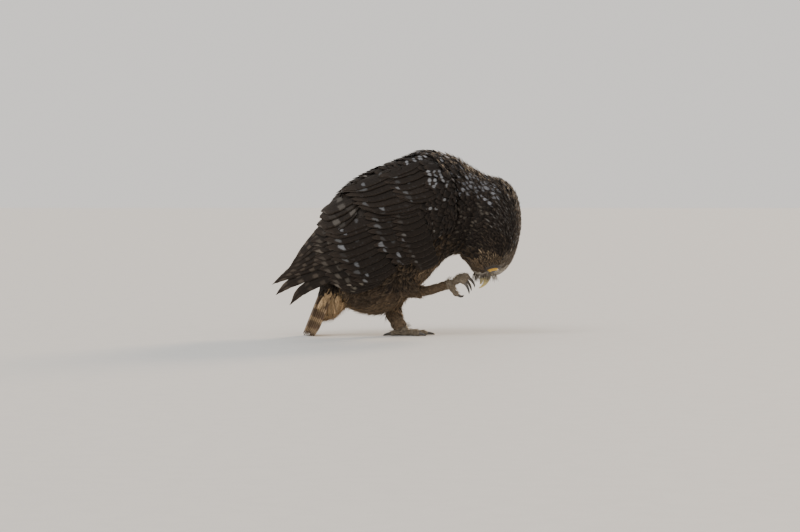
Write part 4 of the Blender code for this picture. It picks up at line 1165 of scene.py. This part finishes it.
def crossing(grid, normals):
    # feathers that start under a wing and come out through it
    middle = grid[:, 2::2, grid.shape[2] // 2]
    under, over = np.zeros(len(grid), bool), np.zeros(len(grid), bool)
    for r in range(middle.shape[1]):
        for k, (spot, normal) in enumerate(zip((middle[:, r] * mm).tolist(), normals.tolist())):
            spot, normal = Vector(spot), Vector(normal)
            for tree in wingTrees:
                under[k] |= tree.ray_cast(spot, normal, 12 * mm)[0] is not None
                over[k] |= tree.ray_cast(spot, -normal, 6 * mm)[0] is not None
    return under & over


def throughTail(grid):
    # feathers from under the tail that end above it
    middle = grid[:, :, grid.shape[2] // 2]
    height = (middle - tail["root"]) @ np.cross(leftward, tailWay)
    above = height + growth["tailSlope"] * np.abs(middle[..., 1]) > growth["tailSide"]
    return (above & (middle[..., 2] < growth["tailHigh"])).any(1)


def bare(spots):
    # the places of eyes, bill and toes, where no feather roots
    forward, up, side = inHead(spots)
    nearEye = headPoint(-eye["depth"], eye["up"]) + leftward * eye["side"] * np.sign(side)[:, None]
    inEye = np.linalg.norm(spots - nearEye, axis=1) < growth["clearOfEye"]
    inBill = (forward > growth["billBack"]) & (np.abs(side) < growth["billSide"])
    inBill &= (up > growth["billLow"]) & (up < growth["billHigh"])
    behind = (spots - tail["root"]) @ np.cross(leftward, tailWay) > growth["tailFold"]
    behind &= spots[:, 2] < growth["tailFoldHigh"]
    return inEye | inBill | behind | (spots[:, 2] < growth["toesHigh"])


def lookOf(pick, rolls, whole):
    count = len(pick)
    tone = rolls.normal(1.0, 0.11, (count, 1))
    spot = np.array([coat[name]["spot"] for name in stations])[pick]
    chance = np.array([coat[name]["chance"] for name in stations])[pick]
    alpha = (rolls.random(count) < chance) * rolls.uniform(0.75, 1.0, count)
    vary = rolls.uniform(0.8, 1.25, (count, 2))
    return {
        "length": whole["length"], "own": rolls.uniform(0, 60, count),
        "ground": opaque(grounds[pick] * tone),
        "mark": np.hstack((marks[pick] * tone, alpha[:, None])),
        "spotPlace": np.stack((spot[:, 0], spot[:, 1] + rolls.normal(0, 0.03, count), 0 * alpha), -1),
        "spotSize": np.stack((spot[:, 2] * vary[:, 0], spot[:, 3] * vary[:, 1], 1 + 0 * alpha), -1),
    }


def growCoat(label, shape, roots, pick, settings, rolls):
    most = int(growth["mostTriangles"] / (4 * (shape["rows"] - 1) * (shape["columns"] - 1)))
    for start in range(0, len(pick), most):
        some = slice(start, start + most)
        part = {key: values[some] for key, values in settings.items()}
        grid, up, half = layVanes(skin, (roots[0][some], roots[1][some]), shape, part)
        clear = ~crossing(grid, unit(valueAt(skin, "normals", roots[1][some], roots[0][some])))
        clear &= ~throughTail(grid)
        looks = lookOf(pick[some], rolls, part)
        looks = {key: values[clear] for key, values in looks.items()}
        grid, up, half, count = grid[clear], up[clear], half[clear], int(clear.sum())
        root = valueAt(skin, "bake", roots[1][some], roots[0][some])[clear]
        bake = {"root": root, "wide": 0.003, "long": 0.003}
        name = label if len(pick) <= most else f"{label}_{start // most + 1}"
        tone = "dark" if label.split("_")[0] in darkPieces else "pale"
        piece = weave(name, featherMaterials[tone], grid, up, half,
                      shares(count, shape["rows"], shape["columns"], True), looks, bake, shape["thick"])
        settle(piece, "brown_plumage" if tone == "dark" else "pale_plumage")
        print(name, count, "triangles", 2 * len(piece.data.polygons))


def pickStation(weights, rolls):
    sharp = weights ** 3
    sharp = np.cumsum(sharp / sharp.sum(1, keepdims=True), axis=1)
    return (sharp < rolls.random(len(weights))[:, None]).sum(1).clip(0, len(stations) - 1)


print("coat")
rolls = np.random.default_rng(19)
spots, index = sampleRoots(skin, skin["weights"] @ sizes[:, 2], 3, 7)
normals = unit(valueAt(skin, "normals", index, spots))
weights = valueAt(skin, "weights", index, spots)
flow = valueAt(skin, "flow", index, spots)
size = weights @ sizes
tips = spots + flow * size[:, :1] * 0.8 + normals
hidden = covered(spots, normals, growth["underWing"]) & covered(tips, normals, growth["underWing"])
keep = ~(bare(spots) | hidden)
spots, index, weights, size, flow = spots[keep], index[keep], weights[keep], size[keep], flow[keep]
pick = pickStation(weights, rolls)
kinds = np.array([coat[name]["kind"] for name in stations])
labels = np.array([pieceOf[name] for name in stations])
for label in sorted(set(labels)):
    for kind in sorted(set(kinds[labels == label])):
        mine = (labels[pick] == label) & (kinds[pick] == kind)
        count = int(mine.sum())
        if not count:
            continue
        wild = (weights @ looseness)[mine]
        low = (spots[mine, 2] - 5.5) / np.maximum(-flow[mine, 2], 0.25)
        settings = {
            "length": np.minimum(size[mine, 0] * rolls.uniform(0.88, 1.12, count), np.maximum(low, 4.0)),
            "width": size[mine, 1] * rolls.uniform(0.88, 1.1, count),
            "lift": size[mine, 3] * rolls.uniform(0.82, 1.1, count) + 0.5 * wild * rolls.random(count),
            "curl": rolls.normal(0.0, 0.12 + 0.5 * wild, count),
            "yaw": rolls.normal(0.0, 0.1 + 0.12 * wild, count),
            "roll": rolls.normal(0.0, 0.07 + 0.08 * wild, count),
        }
        many = len(set(kinds[labels == label])) > 1
        growCoat(f"{label}_{kind}" if many else label, vaneForms[kind], (spots[mine], index[mine]),
                 pick[mine], settings, rolls)


def growStrands():
    # loose barbs that fray the belly, flanks, thighs and under the tail
    rolls = np.random.default_rng(23)
    spacing = growth["strandSpacing"] / np.clip(skin["weights"] @ looseness, 0.3, 1.0)
    spots, index = sampleRoots(skin, spacing, 29, 5)
    weights = valueAt(skin, "weights", index, spots)
    wild = weights @ looseness
    normals = unit(valueAt(skin, "normals", index, spots))
    hidden = covered(spots, normals, growth["strandsUnderWing"])
    keep = (wild > growth["strandLoose"]) & ~bare(spots) & ~hidden
    spots, index, weights, wild = spots[keep], index[keep], weights[keep], wild[keep]
    pick = pickStation(weights, rolls)
    count, size = len(spots), weights @ sizes
    low = (spots[:, 2] - 4.5) / np.maximum(-valueAt(skin, "flow", index, spots)[:, 2], 0.25)
    settings = {
        "length": np.minimum(size[:, 0] * rolls.uniform(0.75, 1.2, count), np.maximum(low, 4.0)),
        "width": rolls.uniform(*growth["strandWidth"], count),
        "lift": size[:, 3] * rolls.uniform(0.9, 1.2, count) + 0.4,
        "curl": rolls.normal(0.5, 1.35, count) * wild * np.minimum(size[:, 0] / 16, 1.0),
        "yaw": rolls.normal(0.0, 0.3, count),
        "roll": rolls.normal(0.0, 0.3, count),
    }
    growCoat("looseBarbs", vaneForms["strand"], (spots, index), pick, settings, rolls)


growStrands()
tones = skin["weights"] @ (grounds * 0.75)
carry(skinPiece.data, "ground", opaque(tones))
bakeMap = skin["bake"][skin["faces"].reshape(-1)].reshape(-1, 4, 2)
wraps = (bakeMap[..., 0].max(1) - bakeMap[..., 0].min(1) > 0.5) & (bakeMap[..., 1].max(1) < 0.79)
bakeMap[..., 0] = np.where(wraps[:, None] & (bakeMap[..., 0] < 0.5), 1.0, bakeMap[..., 0])
skinPiece.data.uv_layers.new(name="OFBake").data.foreach_set("uv", bakeMap.reshape(-1))
settle(skinPiece, "brown_plumage", "torso", "neck", "head", "thigh_left", "thigh_right",
       "tarsus_left", "tarsus_right")

# Eyes and lids

def eyeFrame(side):
    centre = headPoint(-eye["depth"], eye["up"], eye["side"] * side)
    gaze = unit(ahead + np.array((0.12, 0.22 * side, 0.0)))
    top = unit(crown - gaze * (crown @ gaze))
    return centre, gaze, top, np.cross(gaze, top)


def irisMaterial():
    iris = {"yellow": (0.78, 0.5, 0.035), "amber": (0.5, 0.22, 0.012), "fleck": (0.9, 0.68, 0.12),
            "rim": (0.02, 0.014, 0.01), "black": (0.003, 0.003, 0.003), "pupil": 0.4, "edge": 0.8}
    made, tree, shader = newMaterial("yellowIris", 0.12, Coat_Weight=0.6, Coat_Roughness=0.03,
                                     Specular_IOR_Level=0.3)
    gaze = attribute(tree, "gaze")
    flat = add(tree, "CombineXYZ", dict(enumerate(split(tree, gaze)[:2]))).outputs[0]
    reach = vectors(tree, "LENGTH", flat)
    streaks = noise(tree, vectors(tree, "NORMALIZE", flat), 9.0, 4.0)
    flecks = noise(tree, gaze, 14.0, 3.0)
    colour = mixed(tree, ramp(tree, streaks, 0.35, 0.68), iris["yellow"], iris["amber"])
    pale = maths(tree, "MULTIPLY", ramp(tree, flecks, 0.5, 0.75), 0.35)
    colour = mixed(tree, pale, colour, iris["fleck"])
    ring = maths(tree, "MULTIPLY", ramp(tree, reach, 0.5, iris["edge"]), 0.55)
    colour = mixed(tree, ring, colour, iris["amber"])
    colour = mixed(tree, ramp(tree, reach, iris["edge"] - 0.04, iris["edge"]), colour, iris["rim"])
    hole = ramp(tree, reach, iris["pupil"] + 0.02, iris["pupil"] - 0.01)
    paint(tree, shader, mixed(tree, hole, colour, iris["black"]))
    bump(tree, shader, streaks, 0.15, 0.05)
    return made


def lidMaterial():
    made, tree, shader = newMaterial("darkLidSkin", 0.55)
    folds = noise(tree, place3d(tree), 1600.0, 3.0)
    paint(tree, shader, mixed(tree, ramp(tree, folds, 0.3, 0.7), (0.016, 0.013, 0.011),
                              (0.06, 0.048, 0.038)))
    bump(tree, shader, folds, 0.5, 0.12)
    return made


lid = {
    # its outline from the outer skin over the rim to the inside: out from the gaze, and up along it
    "outline": ((8.1, 0.6), (8.0, 2.2), (7.6, 3.4), (7.0, 4.4), (6.45, 4.95), (6.0, 5.0),
                (5.75, 4.6), (5.8, 4.15), (6.2, 3.4), (6.8, 1.6), (8.1, 0.6)),
    "upper": (1.25, 0.62), "lower": (0.35, 0.18),  # how far each lid closes, and how far it stands out
    "folds": (23, 0.05),
}


def makeLid(name, side, finish):
    # a soft ring round the eye, low over its top
    centre, gaze, top, across = eyeFrame(side)
    profile = between(lid["outline"], np.linspace(0, 10, 30, endpoint=False))
    inner = np.clip((8.4 - profile[:, 0]) / 2.6, 0, 1)
    lids = []
    for angle in 2 * math.pi * np.arange(64) / 64:
        upper, lower = max(math.cos(angle), 0) ** 2, max(-math.cos(angle), 0) ** 2
        closed, raised = (a * upper + b * lower for a, b in zip(lid["upper"], lid["lower"]))
        fold = lid["folds"][1] * np.sin(angle * lid["folds"][0])
        out = profile[:, 0] - inner * closed
        high = profile[:, 1] + inner * raised + fold * inner
        way = math.cos(angle) * top + math.sin(angle) * across
        lids.append(centre + out[:, None] * way + high[:, None] * gaze)
    lids = np.array(lids)
    rows, sides = lids.shape[:2]
    faces = [(r * sides + k, r * sides + (k + 1) % sides, (r + 1) % rows * sides + (k + 1) % sides,
              (r + 1) % rows * sides + k) for r in range(rows) for k in range(sides)]
    settle(addPiece(name, lids.reshape(-1, 3), faces, finish), "brown_plumage")


def makeEyes():
    ballMaterial, lidSkin = irisMaterial(), lidMaterial()
    for side, word in ((1, "left"), (-1, "right")):
        centre, gaze, top, across = eyeFrame(side)
        tilt = np.linspace(0.02, math.pi - 0.02, 48)[:, None]
        turn = 2 * math.pi * np.arange(48) / 48
        bulge = 1 + 0.05 * np.clip(1 - (tilt / 0.85) ** 2, 0, 1)
        local = np.stack(np.broadcast_arrays(np.sin(tilt) * np.cos(turn), np.sin(tilt) * np.sin(turn),
                                             np.cos(tilt)), axis=-1)
        rings = centre + eye["radius"] * bulge[..., None] * (
            local[..., 0:1] * top + local[..., 1:2] * across + local[..., 2:3] * gaze)
        points, faces = closedLoft(rings)
        piece = addPiece(f"eyeball_{word}", points, faces, ballMaterial)
        flat = np.vstack((local.reshape(-1, 3), (0, 0, 1), (0, 0, -1)))
        carry(piece.data, "gaze", flat)
        settle(piece, "eyes", f"eye_{word}")
        makeLid(f"eyelid_{word}", side, lidSkin)


print("eyes")
makeEyes()

# Bill: rows from the root to the tip, forward and up in the head's frame

bill = {
    "upper": dict(
        ridge=((-3, 5.2), (3, 5.1), (7, 3.7), (10.4, 0.9), (12.5, -2.6), (13.3, -5.8)),
        edge=((-3, -0.4), (3, -0.6), (6.5, -1), (9.2, -2), (11.4, -4), (12.8, -6)),
        width=(4.6, 4.3, 3.6, 2.7, 1.6, 0.5)),
    "lower": dict(
        ridge=((-3, -4.2), (2.8, -4.4), (5.6, -4.5), (8, -4.7), (9.7, -5.1)),
        edge=((-3, -0.7), (2.8, -0.9), (5.6, -1.3), (8, -2.3), (9.8, -3.7)),
        width=(4, 3.6, 2.9, 1.9, 0.7)),
    "nostril": (4.2, 3.0, 3.9), "nostrilSize": 1.15, "nostrilDepth": 1.3,
    "swelling": {"along": 3.4, "length": 2.0, "height": 0.175},
    "horn": {"base": (0.21, 0.19, 0.11), "tip": (0.6, 0.48, 0.17), "ridges": 46.0},
}


def hornMaterial(name, base, tip, ridges):
    made, tree, shader = newMaterial(name, 0.34, Coat_Weight=0.25, Coat_Roughness=0.3)
    along = attribute(tree, "along", "Fac")
    spot = place3d(tree)
    cloudy = noise(tree, spot, 220.0, 3.0)
    layers = maths(tree, "SINE", maths(tree, "MULTIPLY_ADD", along, ridges,
                                       maths(tree, "MULTIPLY", cloudy, 5.0)))
    place = maths(tree, "MULTIPLY_ADD", cloudy, 0.25, along)
    colour = mixed(tree, ramp(tree, place, 0.2, 0.85), base, tip)
    shade = maths(tree, "MULTIPLY", ramp(tree, layers, -1, 1, 0.84, 1.1),
                  ramp(tree, cloudy, 0.3, 0.7, 0.74, 1.16))
    paint(tree, shader, tinted(tree, colour, shade))
    rough = ramp(tree, cloudy, 0.3, 0.7, 0.26, 0.48)
    tree.links.new(rough, shader.inputs["Roughness"])
    bump(tree, shader, maths(tree, "MULTIPLY_ADD", layers, 0.3, cloudy), 0.35, 0.08)
    return made


def makeBill():
    horn, soft = hornMaterial("yellowHorn", **bill["horn"]), bill["swelling"]
    for part in ("upper", "lower"):
        look = bill[part]
        rows = 30
        place = np.linspace(0, len(look["width"]) - 1, rows)
        ridge, edge = between(look["ridge"], place), between(look["edge"], place)
        width = between(np.array(look["width"])[:, None], place)[:, 0]
        turn = np.concatenate((np.linspace(0, math.pi, 23), np.linspace(math.pi, 2 * math.pi, 9)[1:-1]))
        high = np.where(turn <= math.pi, np.abs(np.sin(turn)) ** 0.92, 0.06 * np.sin(turn))
        rings = []
        for r in range(rows):
            spot = edge[r] + (ridge[r] - edge[r]) * high[:, None]
            side = width[r] * np.cos(turn)
            if part == "upper":  # a soft swelling over the nostrils, and a sharp ridge beyond it
                swell = soft["height"] * math.exp(-((spot[0, 0] - soft["along"]) / soft["length"]) ** 2)
                side = side * (1 + swell * np.sin(turn).clip(0))
            rings.append(headPoint(spot[:, :1], spot[:, 1:], side[:, None]))
        rings = np.array(rings)
        if part == "upper":  # the nostrils sink into it
            forward, up, out = bill["nostril"]
            for side in (-out, out):
                pit = headPoint(forward, up, side)
                gap = np.linalg.norm(rings - pit, axis=2) / bill["nostrilSize"]
                inwards = unit(headPoint(forward - 1.0, up - 2.5) - pit)
                rings = rings + inwards * (bill["nostrilDepth"] * np.clip(1 - gap ** 2, 0, 1))[..., None]
        piece = addPiece(f"{part}Bill", *closedLoft(rings), horn)
        carry(piece.data, "along", alongRings(rows, len(turn)))
        settle(piece, "bill", f"bill_{part}")


print("bill")
makeBill()

# Bristles and barbs that follow a curve of their own: round the bill, and on the toes

def curvedBarbs(name, starts, leave, arrive, lengths, width, ground, tone, bakeSpots, rolls):
    count, rows = len(starts), 7
    t = np.linspace(0, 1, rows)[None, :, None]
    reach = lengths[:, None, None]
    path = starts[:, None] + reach * (leave[:, None] * t * (1 - t * 0.5) + arrive[:, None] * t * t * 0.5)
    way = unit(np.gradient(path, axis=1))
    guide = unit(np.cross(leave, arrive) + rolls.normal(0, 0.2, (count, 3)))[:, None]
    up = unit(np.cross(way, unit(guide - way * dot(guide, way))))
    side = np.cross(up, way)
    half = width / 2 * np.interp(t[0, :, 0], (0, 0.3, 1), (0.9, 1.0, 0.08))
    half = np.tile(half, (count, 1))
    grid = path[:, :, None] + side[:, :, None] * (half[..., None] * np.linspace(-1, 1, 3))[..., None]
    shade = rolls.normal(1.0, 0.12, (count, 1))
    looks = {
        "length": lengths, "own": rolls.uniform(0, 60, count),
        "ground": opaque(np.array(ground) * shade),
        "mark": np.zeros((count, 4)), "spotPlace": np.zeros((count, 3)), "spotSize": np.ones((count, 3)),
    }
    bake = {"root": bakeSpots, "wide": 0.003, "long": 0.003}
    piece = weave(name, featherMaterials[tone], grid, up, half, shares(count, rows, 3, True), looks,
                  bake, width * 0.5)
    settle(piece, "pale_plumage")


bristle = {
    "spacing": 0.72, "length": (4.5, 9.0), "width": 0.32, "pale": (0.5, 0.47, 0.42),
    "dark": (0.03, 0.022, 0.016), "darkShare": 0.5,
    "back": -6, "oval": 1.15, "high": 0.5, "reach": 9.5,  # the ring round the bill where they root
}


def roundBill(points):
    forward, up, side = inHead(points)
    reach = np.hypot(side / bristle["oval"], up - bristle["high"])
    return (forward > bristle["back"]) & (reach < bristle["reach"])


def makeBristles():
    rolls = np.random.default_rng(41)
    ring = roundBill(skin["points"]) & (np.abs(inHead(skin["points"])[2]) > 1.0)
    spacing = np.where(ring, bristle["spacing"], 9.0)
    spots, index = sampleRoots(skin, spacing, 43, 6)
    keep = roundBill(spots) & ~bare(spots)
    spots, index = spots[keep], index[keep]
    forward, side = inHead(spots)[::2]
    away = unit(spots - headPoint(forward[:, None] - 2.0, 0.5) + leftward * np.sign(side)[:, None] * 1.5)
    leave = unit(away * 0.8 + ahead * 1.0 + rolls.normal(0, 0.15, spots.shape))
    arrive = unit(away * 0.25 + ahead * 1.3 - crown * 0.35 + rolls.normal(0, 0.15, spots.shape))
    lengths = rolls.uniform(*bristle["length"], len(spots))
    black = rolls.random((len(spots), 1)) < bristle["darkShare"]
    grounds = np.where(black, bristle["dark"], bristle["pale"])
    curvedBarbs("billBristles", spots, leave, arrive, lengths, bristle["width"], grounds,
                "pale", valueAt(skin, "bake", index, spots), rolls)
    print("bristles", len(spots))


makeBristles()

# Feet: toes with soft pads and scales, sparse bristles on top, and claws

foot = {
    "toeRadii": (2.9, 2.5, 2.7, 2.2, 2.4, 2.0), "voxel": 0.36, "rounds": 4,
    "standing": {"middle": (12, 21), "inner": (-36, 17), "outer": (108, 16), "hind": (-158, 13)},
    "raised": {
        "middle": ((0, 0, 0), (3, 0, 3), (7, 0.3, 6.2), (11.5, 0.6, 7), (15.5, 0.8, 4.6)),
        "inner": ((0, 0, 0), (3, 3, 2.2), (6.5, 6, 4.6), (10.5, 8.2, 4.6), (13.5, 9, 2)),
        "outer": ((0, 0, 0), (2.5, -3.2, 1.6), (5.5, -6.6, 3.4), (9, -9.2, 3), (11.5, -10.2, 0.6)),
        "hind": ((0, 0, 0), (0.5, 0, -3.6), (2.5, 0.4, -7.2), (5.5, 0.8, -9.6)),
    },
    "claw": (1.45, 1.2, 0.8, 0.35), "clawReach": (0.0, 3.0, 5.6, 7.0), "clawDrop": (0, 0.12, 0.5, 1),
    # which way the claws bend from the toes' own line, and the hind claw of the raised foot
    "bend": {"left": (0, 0, -0.9), "right": (-1.0, 0, -4.0)}, "hindBend": (-0.5, 0, 4.0),
    "bristles": {"spacing": 1.15, "share": 0.85, "width": 0.42, "colour": (0.34, 0.28, 0.2),
                 "lengths": ((0, 8, 20), (4.6, 3.4, 2.2))},  # at these rows along a toe
}


def toeMaterial():
    made, tree, shader = newMaterial("scalyToeSkin", 0.6)
    spot = place3d(tree)
    cells = add(tree, "TexVoronoi", {"Vector": spot, "Scale": 1250.0}, feature="DISTANCE_TO_EDGE")
    cracks = ramp(tree, cells.outputs["Distance"], 0.0, 0.14)
    dust = noise(tree, spot, 700.0, 4.0)
    # both toe skin tones are darker than the real pale toes: painted shade of feet lit from behind
    colour = mixed(tree, ramp(tree, dust, 0.3, 0.7), (0.12, 0.095, 0.066), (0.26, 0.21, 0.145))
    paint(tree, shader, mixed(tree, cracks, (0.05, 0.038, 0.027), colour))
    bump(tree, shader, maths(tree, "MULTIPLY_ADD", dust, 0.3, cracks), 0.7, 0.16)
    return made


def toePaths(side):
    paths = {}
    for toe in ("middle", "inner", "outer", "hind"):
        if side == "left":
            turn, length = foot["standing"][toe]
            turn = math.radians(turn)
            out = np.array((math.cos(turn), math.sin(turn), 0.0))
            path = [out * 2.6 + out * (length - 2.6) * k / 3 + np.array((0, 0, z))
                    for k, z in enumerate((2.6, 2.3, 2.1, 1.8))]
        else:
            path = feet[side] + np.array(foot["raised"][toe], float)
        path = np.array(path)
        paths[toe] = between(path, np.linspace(0, len(path) - 1, 24))
    return paths


def makeClaw(side, toe, path, finish):
    # a horn that goes on from the end of the toe and bends down to its point
    standing = side == "left"
    onwards = unit(path[-1] - path[-5])
    bend = np.array(foot["bend"][side] if standing or toe != "hind" else foot["hindBend"])
    start = path[-1] - onwards * 0.6
    spine = [start + onwards * reach + bend * share
             for reach, share in zip(foot["clawReach"], foot["clawDrop"])]
    spine = between(spine, np.linspace(0, 3, 16))
    radii = between(np.array(foot["claw"])[:, None], np.linspace(0, 3, 16))[:, 0]
    radii[-3:] *= (0.85, 0.62, 0.25)
    rings = tube(spine, radii, 18, (onwards, None))
    if standing:
        rings[..., 2] = np.maximum(rings[..., 2], 0.0)
    piece = addPiece(f"claw_{side}_{toe}_horn", *closedLoft(rings), finish)
    carry(piece.data, "along", alongRings(*rings.shape[:2]))
    settle(piece, "claws", f"claw_{side}_{toe}")


def makeFoot(side, toeSkin, clawHorn):
    standing = side == "left"
    centre = feet[side]
    down = unit(centre - ankles[side])
    stub = np.array([centre - down * 5.5, centre - down * 1.5, centre + down * 2.5])
    parts = [tube(between(stub, np.linspace(0, 2, 8)), np.linspace(4.3, 3.7, 8), 24, (down, down))]
    if standing:
        parts.append(tube([centre, centre * (1, 1, 0)], (3.4, 3.9), 24))
    for toe, path in toePaths(side).items():
        t = np.linspace(0, 1, len(path))
        radii = between(np.array(foot["toeRadii"])[:, None], t * 5)[:, 0]
        radii = radii * (1 + 0.07 * np.sin(t * 2 * math.pi * 3.0))
        radii = radii * np.sqrt(1 - 0.72 * np.clip((t - 0.84) / 0.16, 0, 1) ** 2)
        parts.append(tube(path, radii, 20))
        makeClaw(side, toe, path, clawHorn)
    if standing:
        for rings in parts:
            rings[..., 2] = np.maximum(rings[..., 2], 0.02)
    lofts = [closedLoft(rings) for rings in parts]
    piece = fuse(f"toes_{side}", lofts, foot["voxel"], foot["rounds"], toeSkin)
    settle(piece, "toes", f"foot_{side}")
    makeToeBristles(side, surfaceOf(piece))


def makeToeBristles(side, form):
    standing = side == "left"
    rolls, bristles = np.random.default_rng(53), foot["bristles"]
    spacing = np.full(len(form["points"]), bristles["spacing"])
    spots, index = sampleRoots(form, spacing, 57, 5)
    normals = unit(valueAt(form, "normals", index, spots))
    ends = np.concatenate([path[:, None] for path in toePaths(side).values()], axis=1)
    gap = np.linalg.norm(spots[:, None, None] - ends[None], axis=3)
    best = gap.reshape(len(spots), -1).argmin(1)
    row, toe = np.unravel_index(best, ends.shape[:2])
    way = unit(np.gradient(ends, axis=0))[row, toe]
    upper = normals[:, 2] > -0.1 if standing else (normals @ np.array((0.5, 0, 0.6))) > -0.25
    keep = upper & (row < 20) & (rolls.random(len(spots)) < bristles["share"])
    spots, normals, way = spots[keep], normals[keep], way[keep]
    leave = unit(way + normals * 0.7 + rolls.normal(0, 0.12, way.shape))
    arrive = unit(way * 1.3 - normals * 0.1 + rolls.normal(0, 0.2, way.shape))
    lengths = np.interp(row[keep], *bristles["lengths"]) * rolls.uniform(0.8, 1.2, len(spots))
    spread = (spots - feet[side])[:, :2] * 0.002 + np.array((0.9, 0.4 if standing else 0.6))
    curvedBarbs(f"toeBristles_{side}", spots, leave, arrive, lengths, bristles["width"],
                bristles["colour"], "pale", np.clip(spread, 0.0, 0.99), rolls)


print("feet")
toeSkin = toeMaterial()
clawHorn = hornMaterial("blackHorn", (0.07, 0.058, 0.048), (0.012, 0.01, 0.009), 60.0)
for side in feet:
    makeFoot(side, toeSkin, clawHorn)

# Floor, light and camera

studio = {
    "floor": (0.571, 0.5765, 0.573), "sky": (0.98, 0.945, 0.9), "skyStrength": 1.0,
    "lights": {  # where it shines from, how wide in degrees, strength, colour
        "key": ((-0.5, -0.8, 1.1), 35, 1.5, (1.0, 0.98, 0.95)),
        "rim": ((0.62, 1.0, 0.42), 16, 4.0, (1.0, 0.72, 0.45)),
    },
    "distance": 3.0, "elevation": 2.0, "metresPerPixel": 0.00086, "aim": (-0.00344, 0.0, 0.05977),
    "pixelsWide": 800, "floorReach": 6000, "floorDrop": 0.01,
}


def makeStudio():
    made, tree, shader = newMaterial("paleFloor", 0.6)
    speckle = noise(tree, place3d(tree), 60.0, 3.0)
    tone = studio["floor"]
    darker = tuple(part * 0.97 for part in tone)
    paint(tree, shader, mixed(tree, ramp(tree, speckle, 0.3, 0.7), tone, darker))
    reach, low = studio["floorReach"], -studio["floorDrop"]
    corners = [(reach * x, reach * y, low) for x, y in ((-1, -1), (1, -1), (1, 1), (-1, 1))]
    floor = addPiece("floor", corners, [(0, 1, 2, 3)], made)
    world = bpy.data.worlds.new("studio")
    world.use_nodes = True
    world.node_tree.nodes["Background"].inputs[0].default_value = (*studio["sky"], 1)
    world.node_tree.nodes["Background"].inputs[1].default_value = studio["skyStrength"]
    bpy.context.scene.world = world
    aim = Vector(studio["aim"])
    for name, (place, wide, strength, colour) in studio["lights"].items():
        light = bpy.data.lights.new(name, "SUN")
        light.angle, light.energy, light.color = math.radians(wide), strength, colour
        lamp = bpy.data.objects.new(name, light)
        lamp.location = place
        lamp.rotation_euler = (Vector(place) - aim).to_track_quat("Z", "Y").to_euler()
        bpy.context.scene.collection.objects.link(lamp)
    camera = bpy.data.cameras.new("camera")
    camera.sensor_width = 36.0
    seen = studio["pixelsWide"] * studio["metresPerPixel"]
    camera.lens = camera.sensor_width * studio["distance"] / seen
    camera.clip_end = 50.0
    seat = bpy.data.objects.new("camera", camera)
    lean = math.radians(studio["elevation"])
    seat.location = aim + Vector((0, -math.cos(lean), math.sin(lean))) * studio["distance"]
    seat.rotation_euler = (seat.location - aim).to_track_quat("Z", "Y").to_euler()
    bpy.context.scene.collection.objects.link(seat)
    bpy.context.scene.camera = seat


print("studio")
makeStudio()
